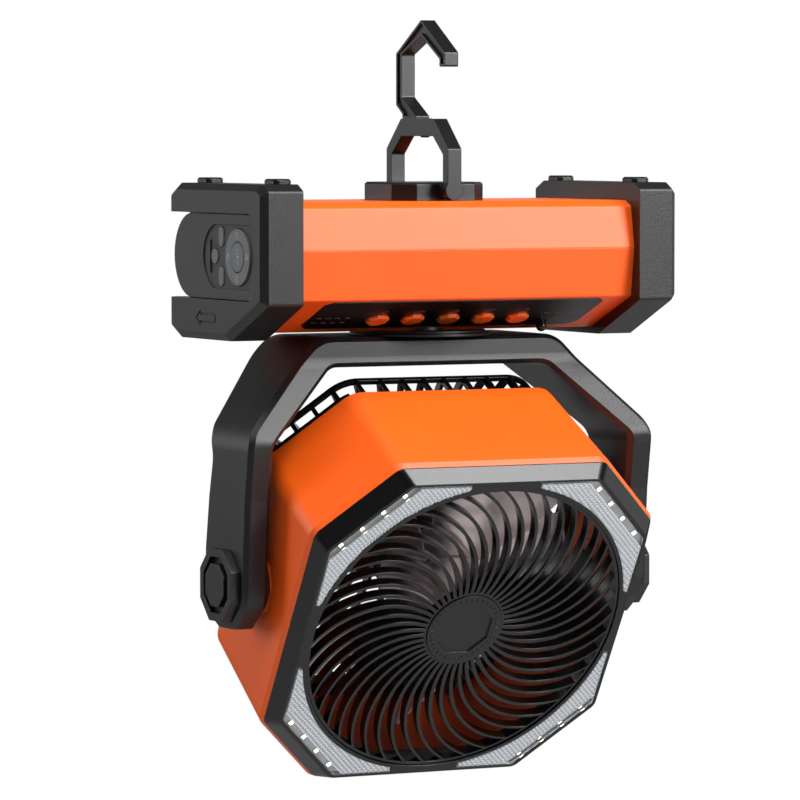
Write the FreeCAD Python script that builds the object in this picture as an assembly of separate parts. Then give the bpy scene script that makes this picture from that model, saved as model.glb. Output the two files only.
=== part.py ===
"""Portable camping fan with a lamp ring: a long battery housing hangs from a folding hook and
carries, on a swivel, a yoke that holds a tilting octagonal fan head. Millimetres, +Z up, -Y to
the front. The origin is the seat under the hook's peak, where the fan hangs. The sub-parts are
drawn about the middle of the housing's top and moved to that origin when they are written."""
import FreeCAD, Part
import math
import os

os.makedirs("parts", exist_ok=True)
Vec = FreeCAD.Vector

# Housing
HOUSING_LENGTH = 220.0
HOUSING_DEPTH = 104.0
HOUSING_HEIGHT = 73.5
CAP_LENGTH = 21.0
CAP_WALL = 2.4
CAP_END_CHAMFER = 3.2
CAP_CORNER = 1.5
CAP_FRONT_CHAMFER = (6.0, 3.2)
CAP_BACK_CHAMFER = (8.5, 4.0)
CAP_BEVEL = (40.3, 17.6)
SHELL_WALL = 2.4
SHELL_TOP_DROP = 8.5
SHELL_BOTTOM_RISE = 3.2
SHELL_FRONT_RECESS = 8.5
SHELL_CREASE_RECESS = 5.3
SHELL_BACK_RECESS = 5.0
SHELL_CREASE_Z = -31.0
SHELL_TOP_CHAMFER = (5.5, 2.8)
SHELL_BACK_CHAMFER = (4.0, 4.5)
SHELL_BEVEL = (39.5, 16.0)
SHELL_CORNER = 1.2
SHELL_SPIGOT = 2.4
BOSS_RADIUS = 3.6
BOSS_CLEARANCE = 2.4
BOSS_YS = (8.0, 36.0)
SCREW_RADIUS = 1.5
SCREW_HEAD_RADIUS = 2.8
SCREW_HEAD = 1.8
FOOT_SIZE = (9.5, 13.0)
FOOT_HEIGHT = 2.5
FOOT_INSET = (15.0, 15.0)

# Control panel on the front bevel
PANEL_END_MARGIN = 15.0
PANEL_X = 2.5
PANEL_WIDTH = 35.2
PANEL_CORNER = 4.0
PANEL_THICKNESS = 1.6
PANEL_RECESS = 1.2
PANEL_TOP_MARGIN = 1.8
BUTTON_NAMES = ("lamp", "brightness", "fan_speed", "swing", "timer")
BUTTON_PITCH = 18.7
BUTTON_ROW_X = 2.2
BUTTON_ROW_DOWN = 25.0
BUTTON_SIZE = 10.6
BUTTON_CUT = 3.1
BUTTON_RISE = 1.6
BUTTON_TRAVEL = 0.5
BUTTON_GAP = 0.25
BUTTON_FLANGE = 0.9
BUTTON_STEM = 1.8
DOME_RADIUS = 2.6
DOME_MARGIN = 20.1
DOME_DOWN = 33.0
DOME_RISE = 2.6
BOARD_THICKNESS = 1.6
BOARD_DEPTH = 9.0
SWITCH_SIZE = 6.0

# Power parts inside the housing
CELL_RADIUS = 9.1
CELL_LENGTH = 65.0
CELL_GAP = 1.0
CELL_ROWS = 3
CELL_ROW_GAP = 0.8
CELL_FRONT_Y = -13.5
HOLDER_THICKNESS = 2.0
SOCKET_X = 45.0
SOCKET_Z = -52.0
SOCKET_SIZE = (9.2, 3.4)
SWING_BODY_X = (-24.0, 14.0)
SWING_BODY_Y = (-7.0, 18.0)
SWING_LIFT = 7.0
SWING_FLANGE = (5.0, 3.0)
SWING_LEG = 4.0
SWING_STUB = (4.0, 1.5)

# Folding hook
PLATE_SIZE = (49.0, 46.0)
PLATE_CUT = 8.8
PLATE_TOP = 0.3
HOOK_PIVOT_Z = -3.6
HOOK_THICKNESS = 7.2
HOOK_LEG = 5.2
HOOK_LEG_GAP = 3.8
HOOK_LEG_RADIUS = 4.6
HOOK_BAR_GAP = 1.1
HOOK_BAR = 8.3
HOOK_BUMP = 0.7
HOOK_SHOULDER_DROP = 14.3
HOOK_STEM_Y = (16.2, 21.9)
HOOK_TIP_Y = (-28.7, -23.2)
HOOK_TIP_RISE = 24.5
HOOK_CORNER_RISE = 31.2
HOOK_PEAK_Y = -4.2
HOOK_PEAK_RISE = 39.3
HOOK_PEAK = 7.6
HOOK_GROOVE = 1.2
HOOK_RIM = 1.3
PIN_RADIUS = 2.0
PIN_CLEARANCE = 0.05
PIN_BOSS_RADIUS = 4.0
PLATE_SCREW_INSET = (9.0, 12.0)
PLATE_SCREW_HEAD = 1.5
PLATE_SCREW_REACH = 4.8

# Remote control in the left end cap
REMOTE_FRONT_MARGIN = 10.0
REMOTE_BACK_MARGIN = 4.3
REMOTE_Z = -34.0
REMOTE_HEIGHT = 39.9
REMOTE_THICKNESS = 9.7
REMOTE_INSET = 1.2
REMOTE_GAP = 0.3
REMOTE_CORNER = 6.0
REMOTE_FLANGE = (1.0, 1.7)
REMOTE_WALL = 1.6
REMOTE_SPLIT = 5.0
REMOTE_PAD = (1.7, 49.6)
REMOTE_PAD_HEIGHT = 30.0
REMOTE_PAD_DEPTH = 0.9
REMOTE_RING_PLACE = 19.2
REMOTE_RING_RADIUS = 13.2
REMOTE_OFF_RADIUS = 6.9
REMOTE_OFF_GAP = 0.45
REMOTE_SMALL_RADIUS = 3.5
REMOTE_SMALL_PLACE = 45.2
REMOTE_SIDE_PLACE = 38.1
REMOTE_SIDE_Z = 9.3
REMOTE_SIDE_SIZE = (5.0, 9.0)
REMOTE_CELL_RADIUS = 12.0
REMOTE_CELL_PLACE = 62.0
REMOTE_THUMB_RADIUS = 15.0
REMOTE_THUMB_REACH = (51.8, 57.4)
REMOTE_THUMB_DEPTH = 0.8
ARROW_TIP = (21.3, -63.2)
ARROW_HEAD = (5.7, 4.0)
ARROW_SHAFT = (22.4, 2.35)
ARROW_LINE = 0.9
ARROW_DEPTH = 0.5

# Swivel and yoke
SWIVEL_BEHIND_BEVEL = 7.2
BEARING_RADIUS = 31.0
BEARING_FLANGE = 0.9
BEARING_HEIGHT = 5.0
BEARING_SLEEVE = 3.0
SHAFT_RADIUS = 8.0
SHAFT_BORE = 5.0
RUNNING_CLEARANCE = 0.05
SWIVEL_GAP = 0.3
SWIVEL_DISC_RADIUS = 34.0
SWIVEL_DISC = 1.1
YOKE_TOP_THICKNESS = 14.0
YOKE_SHOULDER = 44.3
YOKE_INNER_SHOULDER = 37.3
YOKE_ELBOW_DROP = 44.4
YOKE_INNER_ELBOW_DROP = 48.9
YOKE_ARM = 12.8
YOKE_ARM_GAP = 4.3
YOKE_HEAD_GAP = 5.05
YOKE_TAIL = 20.6
YOKE_WALL = 2.4
YOKE_CORNER = 17.0
YOKE_INNER_CORNER = 9.0
YOKE_BEND = 14.0
YOKE_EDGE_CHAMFER = 2.2
YOKE_FRONT_TOP = ((-16.5, 0.0), (-17.0, -12.0), (-33.5, -47.0), (-33.0, -52.5))
YOKE_FRONT_ARM = ((-29.5, 40.3), (-27.5, 13.3), (-26.5, -8.7), (-12.5, -20.6))
YOKE_BACK_TOP = ((38.0, 0.0), (38.0, -9.0), (11.0, -44.4), (7.0, -55.0))
YOKE_BACK_ARM = ((11.5, 41.3), (15.5, 16.3), (16.5, -8.7), (4.0, -20.6))
COVER_FLATS = 34.0
COVER_HEIGHT = 4.5
COVER_INNER_FLATS = 20.0
COVER_INNER_RISE = 0.5
COVER_GROOVE_FLATS = 26.4
COVER_GROOVE = 3.0

# Fan head, in its own frame: y runs back along the fan's axis from the tilt pivot
TILT_DEG = 31.0
PIVOT_Y = -4.6
HEAD_HALF = 90.5
HEAD_CUT = 36.0
HEAD_WALL = 2.5
HEAD_CORNER = 9.0
HEAD_FRONT = -34.0
HEAD_LIP = 2.5
HEAD_LIP_INSET = 1.5
HEAD_BACK = 27.0
HEAD_DRAFT = 1.7
HEAD_BACK_CUT_EXTRA = 1.1
HEAD_BACK_CORNER = 14.0
TRUNNION_RADIUS = 6.0
TRUNNION_BORE = 3.0
TRUNNION_FLANGE = 14.0
TRUNNION_DEPTH = 9.0
TRUNNION_NUT = 9.0
TRUNNION_PAD = 5.0
BEZEL_FACE = -44.0
BEZEL_FACE_INSET = 4.4
BEZEL_FIT = 0.6
BEZEL_SKIN = 2.4
BEZEL_SKIRT = 12.0
OPENING_INSET = 4.0
COLLAR_WALL = 1.8
LENS_INSET = 1.6
LENS_TIP = 18.0
LENS_GAP = 0.15
LENS_DEPTH = 3.0
LED_COUNT = 4
LED_PITCH = 12.4
LED_INSET = 5.6
LED_SIZE = 3.5
LED_BOARD_DEPTH = 1.2
GRILLE_FACE = -43.2
GRILLE_DEPTH = 5.0
GRILLE_RIBS = 46
GRILLE_RIB = 1.9
GRILLE_INNER_RADIUS = 17.0
GRILLE_TURNS_DEG = (0.0, 6.5, 27.0)
GRILLE_MID_RADIUS = 50.0
GRILLE_RIM = 1.8
HUB_RADIUS = 20.6
HUB_FACE = -42.6
HUB_RECESS_FLATS = 27.0
HUB_RECESS = 0.8
CAGE_INSET = 4.8
CAGE_CUT_LESS = 1.1
CAGE_CHAMFER = 1.2
CAGE_FRONT = 22.0
CAGE_BAND = 33.0
CAGE_RIM = 43.6
CAGE_BACK = 47.0
CAGE_WALL = 2.2
CAGE_FLANGE = 2.4
CAGE_CORNER = 20.0
CAGE_BAND_DIAGONAL = 36.0
CAGE_STRUT = 2.2
CAGE_RIBS = 48
CAGE_INNER_RIBS = 24
CAGE_RIB = 1.8
CAGE_RIB_DEPTH = 4.0
CAGE_PLATE_RADIUS = 30.0
CAGE_RING_RADIUS = 55.0
MOTOR_RADIUS = 21.0
MOTOR_LENGTH = 26.0
MOTOR_SHAFT_RADIUS = 2.5
IMPELLER_GAP = 6.6
IMPELLER_HUB = 23.0
IMPELLER_FRONT = -17.0
IMPELLER_HUB_DEPTH = 24.0
IMPELLER_BLADES = 5
BLADE_THICKNESS = 1.8
BLADE_STATIONS = ((22.0, 26.0, 46.0), (48.0, 52.0, 34.0), (73.0, 66.0, 25.0))

SHELL_END = HOUSING_LENGTH / 2 - CAP_LENGTH
BOSS_X = CELL_LENGTH + CELL_GAP + BOSS_RADIUS + BOSS_CLEARANCE
PANEL_LENGTH = 2 * (SHELL_END - PANEL_END_MARGIN)
BOARD_POST_X = PANEL_LENGTH / 2 - 11.0
DOME_X = PANEL_X + PANEL_LENGTH / 2 - DOME_MARGIN
HOOK_LEG_INNER = PLATE_SIZE[1] / 2 + HOOK_LEG_GAP
HOOK_LEG_OUTER = HOOK_LEG_INNER + HOOK_LEG
HOOK_BAR_BOTTOM = HOOK_PIVOT_Z + PLATE_SIZE[0] / 2 + HOOK_BAR_GAP
HOOK_BAR_TOP = HOOK_BAR_BOTTOM + HOOK_BAR
HOOK_SHOULDER_Z = HOOK_BAR_TOP - HOOK_SHOULDER_DROP
HOOK_TIP_Z = HOOK_BAR_TOP + HOOK_TIP_RISE
HOOK_CORNER_Z = HOOK_BAR_TOP + HOOK_CORNER_RISE
HOOK_PEAK_INNER = HOOK_BAR_TOP + HOOK_PEAK_RISE
REMOTE_FRONT_Y = REMOTE_FRONT_MARGIN - HOUSING_DEPTH / 2
REMOTE_BACK_Y = HOUSING_DEPTH / 2 - REMOTE_BACK_MARGIN
SHELL_BOTTOM = SHELL_BOTTOM_RISE - HOUSING_HEIGHT
SHELL_FRONT = SHELL_FRONT_RECESS - HOUSING_DEPTH / 2
SWIVEL_Y = SHELL_FRONT + SHELL_BEVEL[0] + SWIVEL_BEHIND_BEVEL
PANEL_TILT_DEG = 180.0 - math.degrees(math.atan2(SHELL_BEVEL[1], SHELL_BEVEL[0]))
PANEL_SLOPE = math.hypot(*SHELL_BEVEL)
REMOTE_FACE_X = REMOTE_INSET - HOUSING_LENGTH / 2
REMOTE_BACK_X = REMOTE_FACE_X + REMOTE_THICKNESS
SWIVEL_FACE = SHELL_BOTTOM - BEARING_FLANGE
YOKE_TOP = SWIVEL_FACE - SWIVEL_GAP - SWIVEL_DISC
YOKE_INNER = HEAD_HALF + YOKE_ARM_GAP
YOKE_HALF = YOKE_INNER + YOKE_ARM
HEAD_BACK_HALF = HEAD_HALF - HEAD_DRAFT
HEAD_BACK_CUT = HEAD_CUT + HEAD_BACK_CUT_EXTRA
BEZEL_HALF = HEAD_HALF - HEAD_LIP_INSET
BEZEL_CUT = HEAD_CUT - 1.0
BEZEL_FACE_HALF = BEZEL_HALF - BEZEL_FACE_INSET
OPENING_RADIUS = BEZEL_FACE_HALF - OPENING_INSET
RIM_RADIUS = OPENING_RADIUS + COLLAR_WALL
LENS_HALF = BEZEL_FACE_HALF - LENS_INSET
LENS_CUT = HEAD_CUT - 1.5
LED_LINE = (2 * LENS_HALF - LENS_CUT) / math.sqrt(2) - LED_INSET
GRILLE_OUTER_RADIUS = OPENING_RADIUS - GRILLE_RIM
IMPELLER_RADIUS = OPENING_RADIUS - IMPELLER_GAP
CAGE_HALF = HEAD_BACK_HALF - CAGE_INSET
CAGE_CUT = HEAD_BACK_CUT - CAGE_CUT_LESS
HEAD_SWING = math.hypot(CAGE_BACK, CAGE_HALF)
PIVOT_Z = YOKE_TOP - YOKE_TOP_THICKNESS - YOKE_HEAD_GAP - HEAD_SWING
YOKE_FOOT = PIVOT_Z - YOKE_TAIL
SEAT = Vec(0, HOOK_PEAK_Y, HOOK_PEAK_INNER)


def save(name, shape):
    """Move a sub-part to the seat of the hook and write it."""
    moved = shape.copy()
    moved.translate(-SEAT)
    moved.exportStep("parts/" + name + ".step")


def point(plane, a, b, height=0.0):
    """A point of a drawing plane: x holds (y, z), y holds (x, z) and z holds (x, y)."""
    return {"x": Vec(height, a, b), "y": Vec(a, height, b), "z": Vec(a, b, height)}[plane]


def normal(plane):
    return {"x": Vec(1, 0, 0), "y": Vec(0, 1, 0), "z": Vec(0, 0, 1)}[plane]


def outline(plane, corners, radius=0.0, height=0.0):
    """A closed wire through the corners, rounded by tangent arcs of one radius or of one each."""
    places = [point(plane, a, b, height) for a, b in corners]
    count = len(places)
    radii = radius if isinstance(radius, list) else [radius] * count
    edges = []
    ends = []
    for i, here in enumerate(places):
        back = (places[i - 1] - here)
        ahead = (places[(i + 1) % count] - here)
        room = 0.45 * min(back.Length, ahead.Length)
        back.normalize()
        ahead.normalize()
        half = back.getAngle(ahead) / 2
        reach = min(radii[i] / math.tan(half), room)
        if reach < 0.01:
            ends.append((here, here))
            continue
        start = here + back * reach
        stop = here + ahead * reach
        middle = (back + ahead).normalize()
        rounding = reach * math.tan(half)
        top = here + middle * (rounding / math.sin(half) - rounding)
        edges.append((i, Part.Arc(start, top, stop).toShape()))
        ends.append((start, stop))
    arcs = dict(edges)
    path = []
    for i in range(count):
        if i in arcs:
            path.append(arcs[i])
        path.append(Part.makeLine(ends[i][1], ends[(i + 1) % count][0]))
    return Part.Wire(path)


def prism(plane, corners, low, high, radius=0.0):
    """A straight solid over a rounded outline, from one height of its plane to another."""
    face = Part.Face(outline(plane, corners, radius, low))
    return face.extrude(normal(plane) * (high - low))


def taper(plane, first, first_height, second, second_height, radius=0.0, second_radius=None):
    """A ruled solid between two outlines of the same number of corners."""
    low = outline(plane, first, radius, first_height)
    high = outline(plane, second, radius if second_radius is None else second_radius, second_height)
    return Part.makeLoft([low, high], True, True)


def inset(corners, distance):
    """The outline of a convex shape moved inward by a distance, or outward if it is negative."""
    count = len(corners)
    area = sum(a[0] * b[1] - b[0] * a[1] for a, b in zip(corners, corners[1:] + corners[:1]))
    turn = 1.0 if area > 0 else -1.0
    lines = []
    for (ax, ay), (bx, by) in zip(corners, corners[1:] + corners[:1]):
        length = math.hypot(bx - ax, by - ay)
        nx, ny = -(by - ay) / length * turn, (bx - ax) / length * turn
        lines.append((nx, ny, nx * ax + ny * ay + distance))
    moved = []
    for i in range(count):
        (a, b, c), (d, e, f) = lines[i - 1], lines[i]
        det = a * e - b * d
        moved.append(((c * e - b * f) / det, (a * f - c * d) / det))
    return moved


def octagon(half_a, half_b, cut):
    """Corners of a rectangle with its four corners cut off at 45 degrees."""
    quarter = [(half_a, half_b - cut), (half_a - cut, half_b)]
    left = [(-a, b) for a, b in reversed(quarter)]
    upper = quarter + left
    return upper + [(-a, -b) for a, b in upper]


def even_octagon(flats):
    half = flats / 2
    return octagon(half, half, half * (2 - math.sqrt(2)))


def moved_outline(corners, da, db):
    return [(a + da, b + db) for a, b in corners]


def cylinder(radius, start, axis, length):
    return Part.makeCylinder(radius, length, start, axis)


def ring(outer, inner, start, axis, length):
    return cylinder(outer, start, axis, length).cut(cylinder(inner, start, axis, length))


def box(x, y, z):
    """A block between pairs of limits."""
    return Part.makeBox(x[1] - x[0], y[1] - y[0], z[1] - z[0], Vec(x[0], y[0], z[0]))


def join(shapes):
    first, rest = shapes[0], shapes[1:]
    return first.fuse(rest).removeSplitter() if rest else first


def cap_profile():
    front, back, bottom = -HOUSING_DEPTH / 2, HOUSING_DEPTH / 2, -HOUSING_HEIGHT
    return [
        (front, -CAP_FRONT_CHAMFER[1]), (front + CAP_FRONT_CHAMFER[0], 0.0),
        (back - CAP_BACK_CHAMFER[0], 0.0), (back, -CAP_BACK_CHAMFER[1]),
        (back, bottom + CAP_BACK_CHAMFER[1]), (back - CAP_BACK_CHAMFER[0], bottom),
        (front + CAP_BEVEL[0], bottom), (front, bottom + CAP_BEVEL[1]),
    ]


def shell_profile():
    back = HOUSING_DEPTH / 2 - SHELL_BACK_RECESS
    top = -SHELL_TOP_DROP
    return [
        (SHELL_CREASE_RECESS - HOUSING_DEPTH / 2, SHELL_CREASE_Z),
        (SHELL_FRONT, top - SHELL_TOP_CHAMFER[1]), (SHELL_FRONT + SHELL_TOP_CHAMFER[0], top),
        (back - SHELL_BACK_CHAMFER[0], top), (back, top - SHELL_BACK_CHAMFER[1]),
        (back, SHELL_BOTTOM + SHELL_BACK_CHAMFER[1]), (back - SHELL_BACK_CHAMFER[0], SHELL_BOTTOM),
        (SHELL_FRONT + SHELL_BEVEL[0], SHELL_BOTTOM), (SHELL_FRONT, SHELL_BOTTOM + SHELL_BEVEL[1]),
    ]


def on_panel(shape):
    """Set a piece drawn flat on the front bevel: its y runs up the slope and its z points out."""
    placed = shape.copy()
    placed.rotate(Vec(0, 0, 0), Vec(1, 0, 0), PANEL_TILT_DEG)
    placed.translate(Vec(0, SHELL_FRONT + SHELL_BEVEL[0], SHELL_BOTTOM))
    return placed


def slope_y(down):
    """Height up the bevel of a place measured down from the bevel's top edge."""
    return PANEL_SLOPE - down


def button_places():
    count = len(BUTTON_NAMES)
    first = BUTTON_ROW_X - (count - 1) / 2 * BUTTON_PITCH
    return [(first + i * BUTTON_PITCH, slope_y(BUTTON_ROW_DOWN)) for i in range(count)]


def button_outline(x, y, grow=0.0):
    half = BUTTON_SIZE / 2 + grow
    return moved_outline(octagon(half, half, BUTTON_CUT), x, y)


def panel_outline(grow=0.0):
    middle = slope_y(PANEL_TOP_MARGIN + PANEL_WIDTH / 2)
    shape = octagon(PANEL_LENGTH / 2 + grow, PANEL_WIDTH / 2 + grow, PANEL_CORNER)
    return moved_outline(shape, PANEL_X, middle)


def panel_openings(low, high, grow):
    """Prisms through the panel for the buttons and the receiver dome."""
    holes = [prism("z", button_outline(x, y, grow), low, high) for x, y in button_places()]
    dome = Vec(DOME_X, slope_y(DOME_DOWN), low)
    holes.append(cylinder(DOME_RADIUS + grow, dome, Vec(0, 0, 1), high - low))
    return holes


def shell_half(upper):
    """One moulded half of the orange housing, with its screw posts."""
    reach = SHELL_END + SHELL_SPIGOT
    outside = prism("x", shell_profile(), -reach, reach, SHELL_CORNER)
    inside = prism("x", inset(shell_profile(), SHELL_WALL), -reach, reach, SHELL_CORNER)
    span = (0.0, SHELL_CREASE_Z) if upper else (SHELL_CREASE_Z, -HOUSING_HEIGHT)
    window = box((-reach, reach), (-HOUSING_DEPTH, HOUSING_DEPTH), sorted(span))
    shell = outside.cut(inside).common(window)
    posts = []
    for x in (-BOSS_X, BOSS_X):
        for y in BOSS_YS:
            foot = -SHELL_TOP_DROP - SHELL_WALL / 2 if upper else SHELL_BOTTOM + SHELL_WALL / 2
            low, high = sorted((SHELL_CREASE_Z, foot))
            posts.append(cylinder(BOSS_RADIUS, Vec(x, y, low), Vec(0, 0, 1), high - low))
    shell = join([shell] + posts)
    bores = []
    for x in (-BOSS_X, BOSS_X):
        for y in BOSS_YS:
            seat = Vec(x, y, SHELL_BOTTOM - 1)
            bores.append(cylinder(SCREW_RADIUS, Vec(x, y, screw_low()), Vec(0, 0, 1), screw_length()))
            bores.append(cylinder(SCREW_HEAD_RADIUS, seat, Vec(0, 0, 1), SCREW_HEAD + 1))
    return shell.cut(bores)


def screw_low():
    return SHELL_BOTTOM + SCREW_HEAD


def screw_length():
    return -SHELL_TOP_DROP - SHELL_WALL - 4.0 - screw_low()


def upper_shell():
    """Upper half: it carries the hook plate."""
    shell = shell_half(True)
    starts = [Vec(x, y, -SHELL_TOP_DROP - 5) for x, y in plate_screws()]
    return shell.cut([cylinder(SCREW_RADIUS, start, Vec(0, 0, 1), 8.0) for start in starts])


def lower_shell():
    """Lower half: bevel with the panel's recess, swivel bore and charging opening."""
    shell = shell_half(False)
    board_posts = []
    for x in (PANEL_X - BOARD_POST_X, PANEL_X + BOARD_POST_X):
        for down in (8.0, 34.0):
            start = Vec(x, slope_y(down), -BOARD_DEPTH + BOARD_THICKNESS)
            post = cylinder(2.5, start, Vec(0, 0, 1), BOARD_DEPTH - BOARD_THICKNESS - SHELL_WALL / 2)
            board_posts.append(on_panel(post))
    shell = join([shell] + board_posts)
    recess = on_panel(prism("z", panel_outline(), -PANEL_RECESS, 2.0))
    holes = [on_panel(hole) for hole in panel_openings(-SHELL_WALL - 1, 1.0, BUTTON_GAP)]
    sleeve = SHAFT_RADIUS + BEARING_SLEEVE
    bore = cylinder(sleeve, Vec(0, SWIVEL_Y, SWIVEL_FACE), Vec(0, 0, 1), BEARING_FLANGE + BEARING_HEIGHT + 2)
    half_x, half_z = SOCKET_SIZE[0] / 2, SOCKET_SIZE[1] / 2
    slot = moved_outline(octagon(half_x, half_z, half_z * 0.9), SOCKET_X, SOCKET_Z)
    charge = prism("y", slot, HOUSING_DEPTH / 2 - SHELL_BACK_RECESS - SHELL_WALL - 1, HOUSING_DEPTH / 2)
    return shell.cut([recess, bore, charge] + holes)


def cap_blank():
    """The left cap's closed outer form, with the bevelled rim of its end face."""
    end = -HOUSING_LENGTH / 2
    profile = cap_profile()
    body = prism("x", profile, end + CAP_END_CHAMFER, -SHELL_END, CAP_CORNER)
    rim = taper("x", inset(profile, CAP_END_CHAMFER), end, profile, end + CAP_END_CHAMFER, CAP_CORNER)
    return join([body, rim])


def hollow_cap():
    """The left cap as a shell that is closed round the orange housing."""
    end = -HOUSING_LENGTH / 2
    inside = prism("x", inset(cap_profile(), CAP_WALL), end + CAP_WALL, -SHELL_END - SHELL_SPIGOT, CAP_CORNER)
    seat = prism("x", shell_profile(), -SHELL_END - SHELL_SPIGOT - 1, -SHELL_END + 1, SHELL_CORNER)
    return cap_blank().cut([inside, seat])


def remote_outline(grow=0.0, back=None):
    """Side view of the remote, square at the front and fully round at the back end."""
    half = REMOTE_HEIGHT / 2 + grow
    front = REMOTE_FRONT_Y - grow
    if back is None:
        low = Vec(0, REMOTE_BACK_Y - REMOTE_HEIGHT / 2, REMOTE_Z - half)
        tip = Vec(0, REMOTE_BACK_Y + grow, REMOTE_Z)
        high = Vec(0, low.y, REMOTE_Z + half)
        rest = [Part.Arc(low, tip, high).toShape()]
        corner_r = REMOTE_CORNER + grow
        upper = Vec(0, front + corner_r, high.z)
        lower = Vec(0, front + corner_r, low.z)
        side_high = Vec(0, front, high.z - corner_r)
        side_low = Vec(0, front, low.z + corner_r)
        bend = corner_r * (1 - math.sqrt(0.5))
        rest.append(Part.makeLine(high, upper))
        rest.append(Part.Arc(upper, Vec(0, front + bend, high.z - bend), side_high).toShape())
        rest.append(Part.makeLine(side_high, side_low))
        rest.append(Part.Arc(side_low, Vec(0, front + bend, low.z + bend), lower).toShape())
        rest.append(Part.makeLine(lower, low))
        return Part.Wire(rest)
    low_side, high_side = REMOTE_Z - half, REMOTE_Z + half
    corners = [(front, low_side), (back, low_side), (back, high_side), (front, high_side)]
    return outline("x", corners, REMOTE_CORNER + grow)


def remote_block(low, high, grow=0.0, back=None):
    """A slab of the remote's side view between two x places."""
    wire = remote_outline(grow, back)
    wire.translate(Vec(low, 0, 0))
    return Part.Face(wire).extrude(Vec(high - low, 0, 0))


def left_cap():
    """Left end cap with the remote's slot, which is open to the back and has two rails."""
    far = HOUSING_DEPTH
    floor = REMOTE_BACK_X + REMOTE_GAP
    rail = REMOTE_FLANGE[0] + REMOTE_GAP
    cradle = remote_block(-HOUSING_LENGTH / 2, floor + CAP_WALL, rail + CAP_WALL, far).common(cap_blank())
    pocket = remote_block(-HOUSING_LENGTH / 2 - 1, floor, REMOTE_GAP, far)
    grooves = remote_block(floor - REMOTE_FLANGE[1] - 2 * REMOTE_GAP, floor, rail, far)
    return join([hollow_cap(), cradle]).cut([pocket, grooves, cap_arrow()])


def cap_arrow():
    """Engraved outline of an arrow below the remote: it shows which way the remote slides out."""
    tip_y, z = ARROW_TIP
    neck, tail = tip_y - ARROW_HEAD[0], tip_y - ARROW_SHAFT[0]
    upper = [(tip_y, z), (neck, z + ARROW_HEAD[1]), (neck, z + ARROW_SHAFT[1]), (tail, z + ARROW_SHAFT[1])]
    lower = [(y, 2 * z - height) for y, height in reversed(upper[1:])]
    whole = Part.Face(outline("x", upper + lower, 0.0, -HOUSING_LENGTH / 2 - 1))
    line = whole.cut(whole.makeOffset2D(-ARROW_LINE))
    return line.extrude(Vec(ARROW_DEPTH + 1, 0, 0))


def right_cap():
    return hollow_cap().mirror(Vec(0, 0, 0), Vec(1, 0, 0))


def foot(x, y):
    """A rubber foot let into the cap's top."""
    shape = octagon(FOOT_SIZE[0] / 2, FOOT_SIZE[1] / 2, 2.0)
    body = prism("z", moved_outline(shape, x, y), 0.0, FOOT_HEIGHT - 0.8, 1.5)
    small = inset(moved_outline(shape, x, y), 0.8)
    crown = taper("z", moved_outline(shape, x, y), FOOT_HEIGHT - 0.8, small, FOOT_HEIGHT, 1.5)
    return join([body, crown])


def control_panel():
    """Black panel in the bevel's recess, with holes for the buttons and the receiver."""
    plate = prism("z", panel_outline(-0.1), -PANEL_RECESS, PANEL_THICKNESS - PANEL_RECESS)
    return on_panel(plate.cut(panel_openings(-PANEL_RECESS - 1, 2.0, BUTTON_GAP)))


def panel_button(x, y):
    """One push button: octagonal cap, retaining flange and stem over its switch."""
    top = PANEL_THICKNESS - PANEL_RECESS + BUTTON_RISE
    low = -SHELL_WALL - 0.2
    cap = prism("z", button_outline(x, y), low, top - 0.8)
    crown = taper("z", button_outline(x, y), top - 0.8, inset(button_outline(x, y), 0.8), top)
    flange = prism("z", button_outline(x, y, BUTTON_FLANGE), low - 1.0, low)
    stem = cylinder(1.6, Vec(x, y, -SHELL_WALL - BUTTON_STEM), Vec(0, 0, 1), 1.0)
    return on_panel(join([cap, crown, flange, stem]))


def ir_receiver():
    """Receiver dome that looks out of the panel's lower edge."""
    start = Vec(DOME_X, slope_y(DOME_DOWN), -BOARD_DEPTH + BOARD_THICKNESS)
    body = cylinder(DOME_RADIUS, start, Vec(0, 0, 1), BOARD_DEPTH - BOARD_THICKNESS + DOME_RISE)
    dome = Part.makeSphere(DOME_RADIUS, start + Vec(0, 0, BOARD_DEPTH - BOARD_THICKNESS + DOME_RISE))
    return on_panel(join([body, dome]))


def control_board():
    """Circuit board under the panel with a switch below each button."""
    length, width = PANEL_LENGTH / 2 - 5, PANEL_WIDTH / 2 - 1.5
    middle = slope_y(PANEL_TOP_MARGIN + PANEL_WIDTH / 2 + 1.5)
    shape = moved_outline(octagon(length, width, 3.0), PANEL_X, middle)
    plate = prism("z", shape, -BOARD_DEPTH, BOARD_THICKNESS - BOARD_DEPTH)
    parts = [plate]
    switch_top = -SHELL_WALL - BUTTON_STEM - BUTTON_TRAVEL - 0.2
    half = SWITCH_SIZE / 2
    heights = (BOARD_THICKNESS - BOARD_DEPTH, switch_top)
    for x, y in button_places():
        parts.append(box((x - half, x + half), (y - half, y + half), heights))
    return on_panel(join(parts))


def cell_z():
    return -SHELL_TOP_DROP - SHELL_WALL - 2.2 - CELL_RADIUS


def cell_rows():
    return [CELL_FRONT_Y + i * (2 * CELL_RADIUS + CELL_ROW_GAP) for i in range(CELL_ROWS)]


def battery_cells():
    """Two rows of three round cells under the housing's top."""
    cells = []
    for y in cell_rows():
        for start in (-CELL_LENGTH - CELL_GAP, CELL_GAP):
            cells.append(cylinder(CELL_RADIUS, Vec(start, y, cell_z()), Vec(1, 0, 0), CELL_LENGTH))
    return Part.makeCompound(cells)


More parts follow.
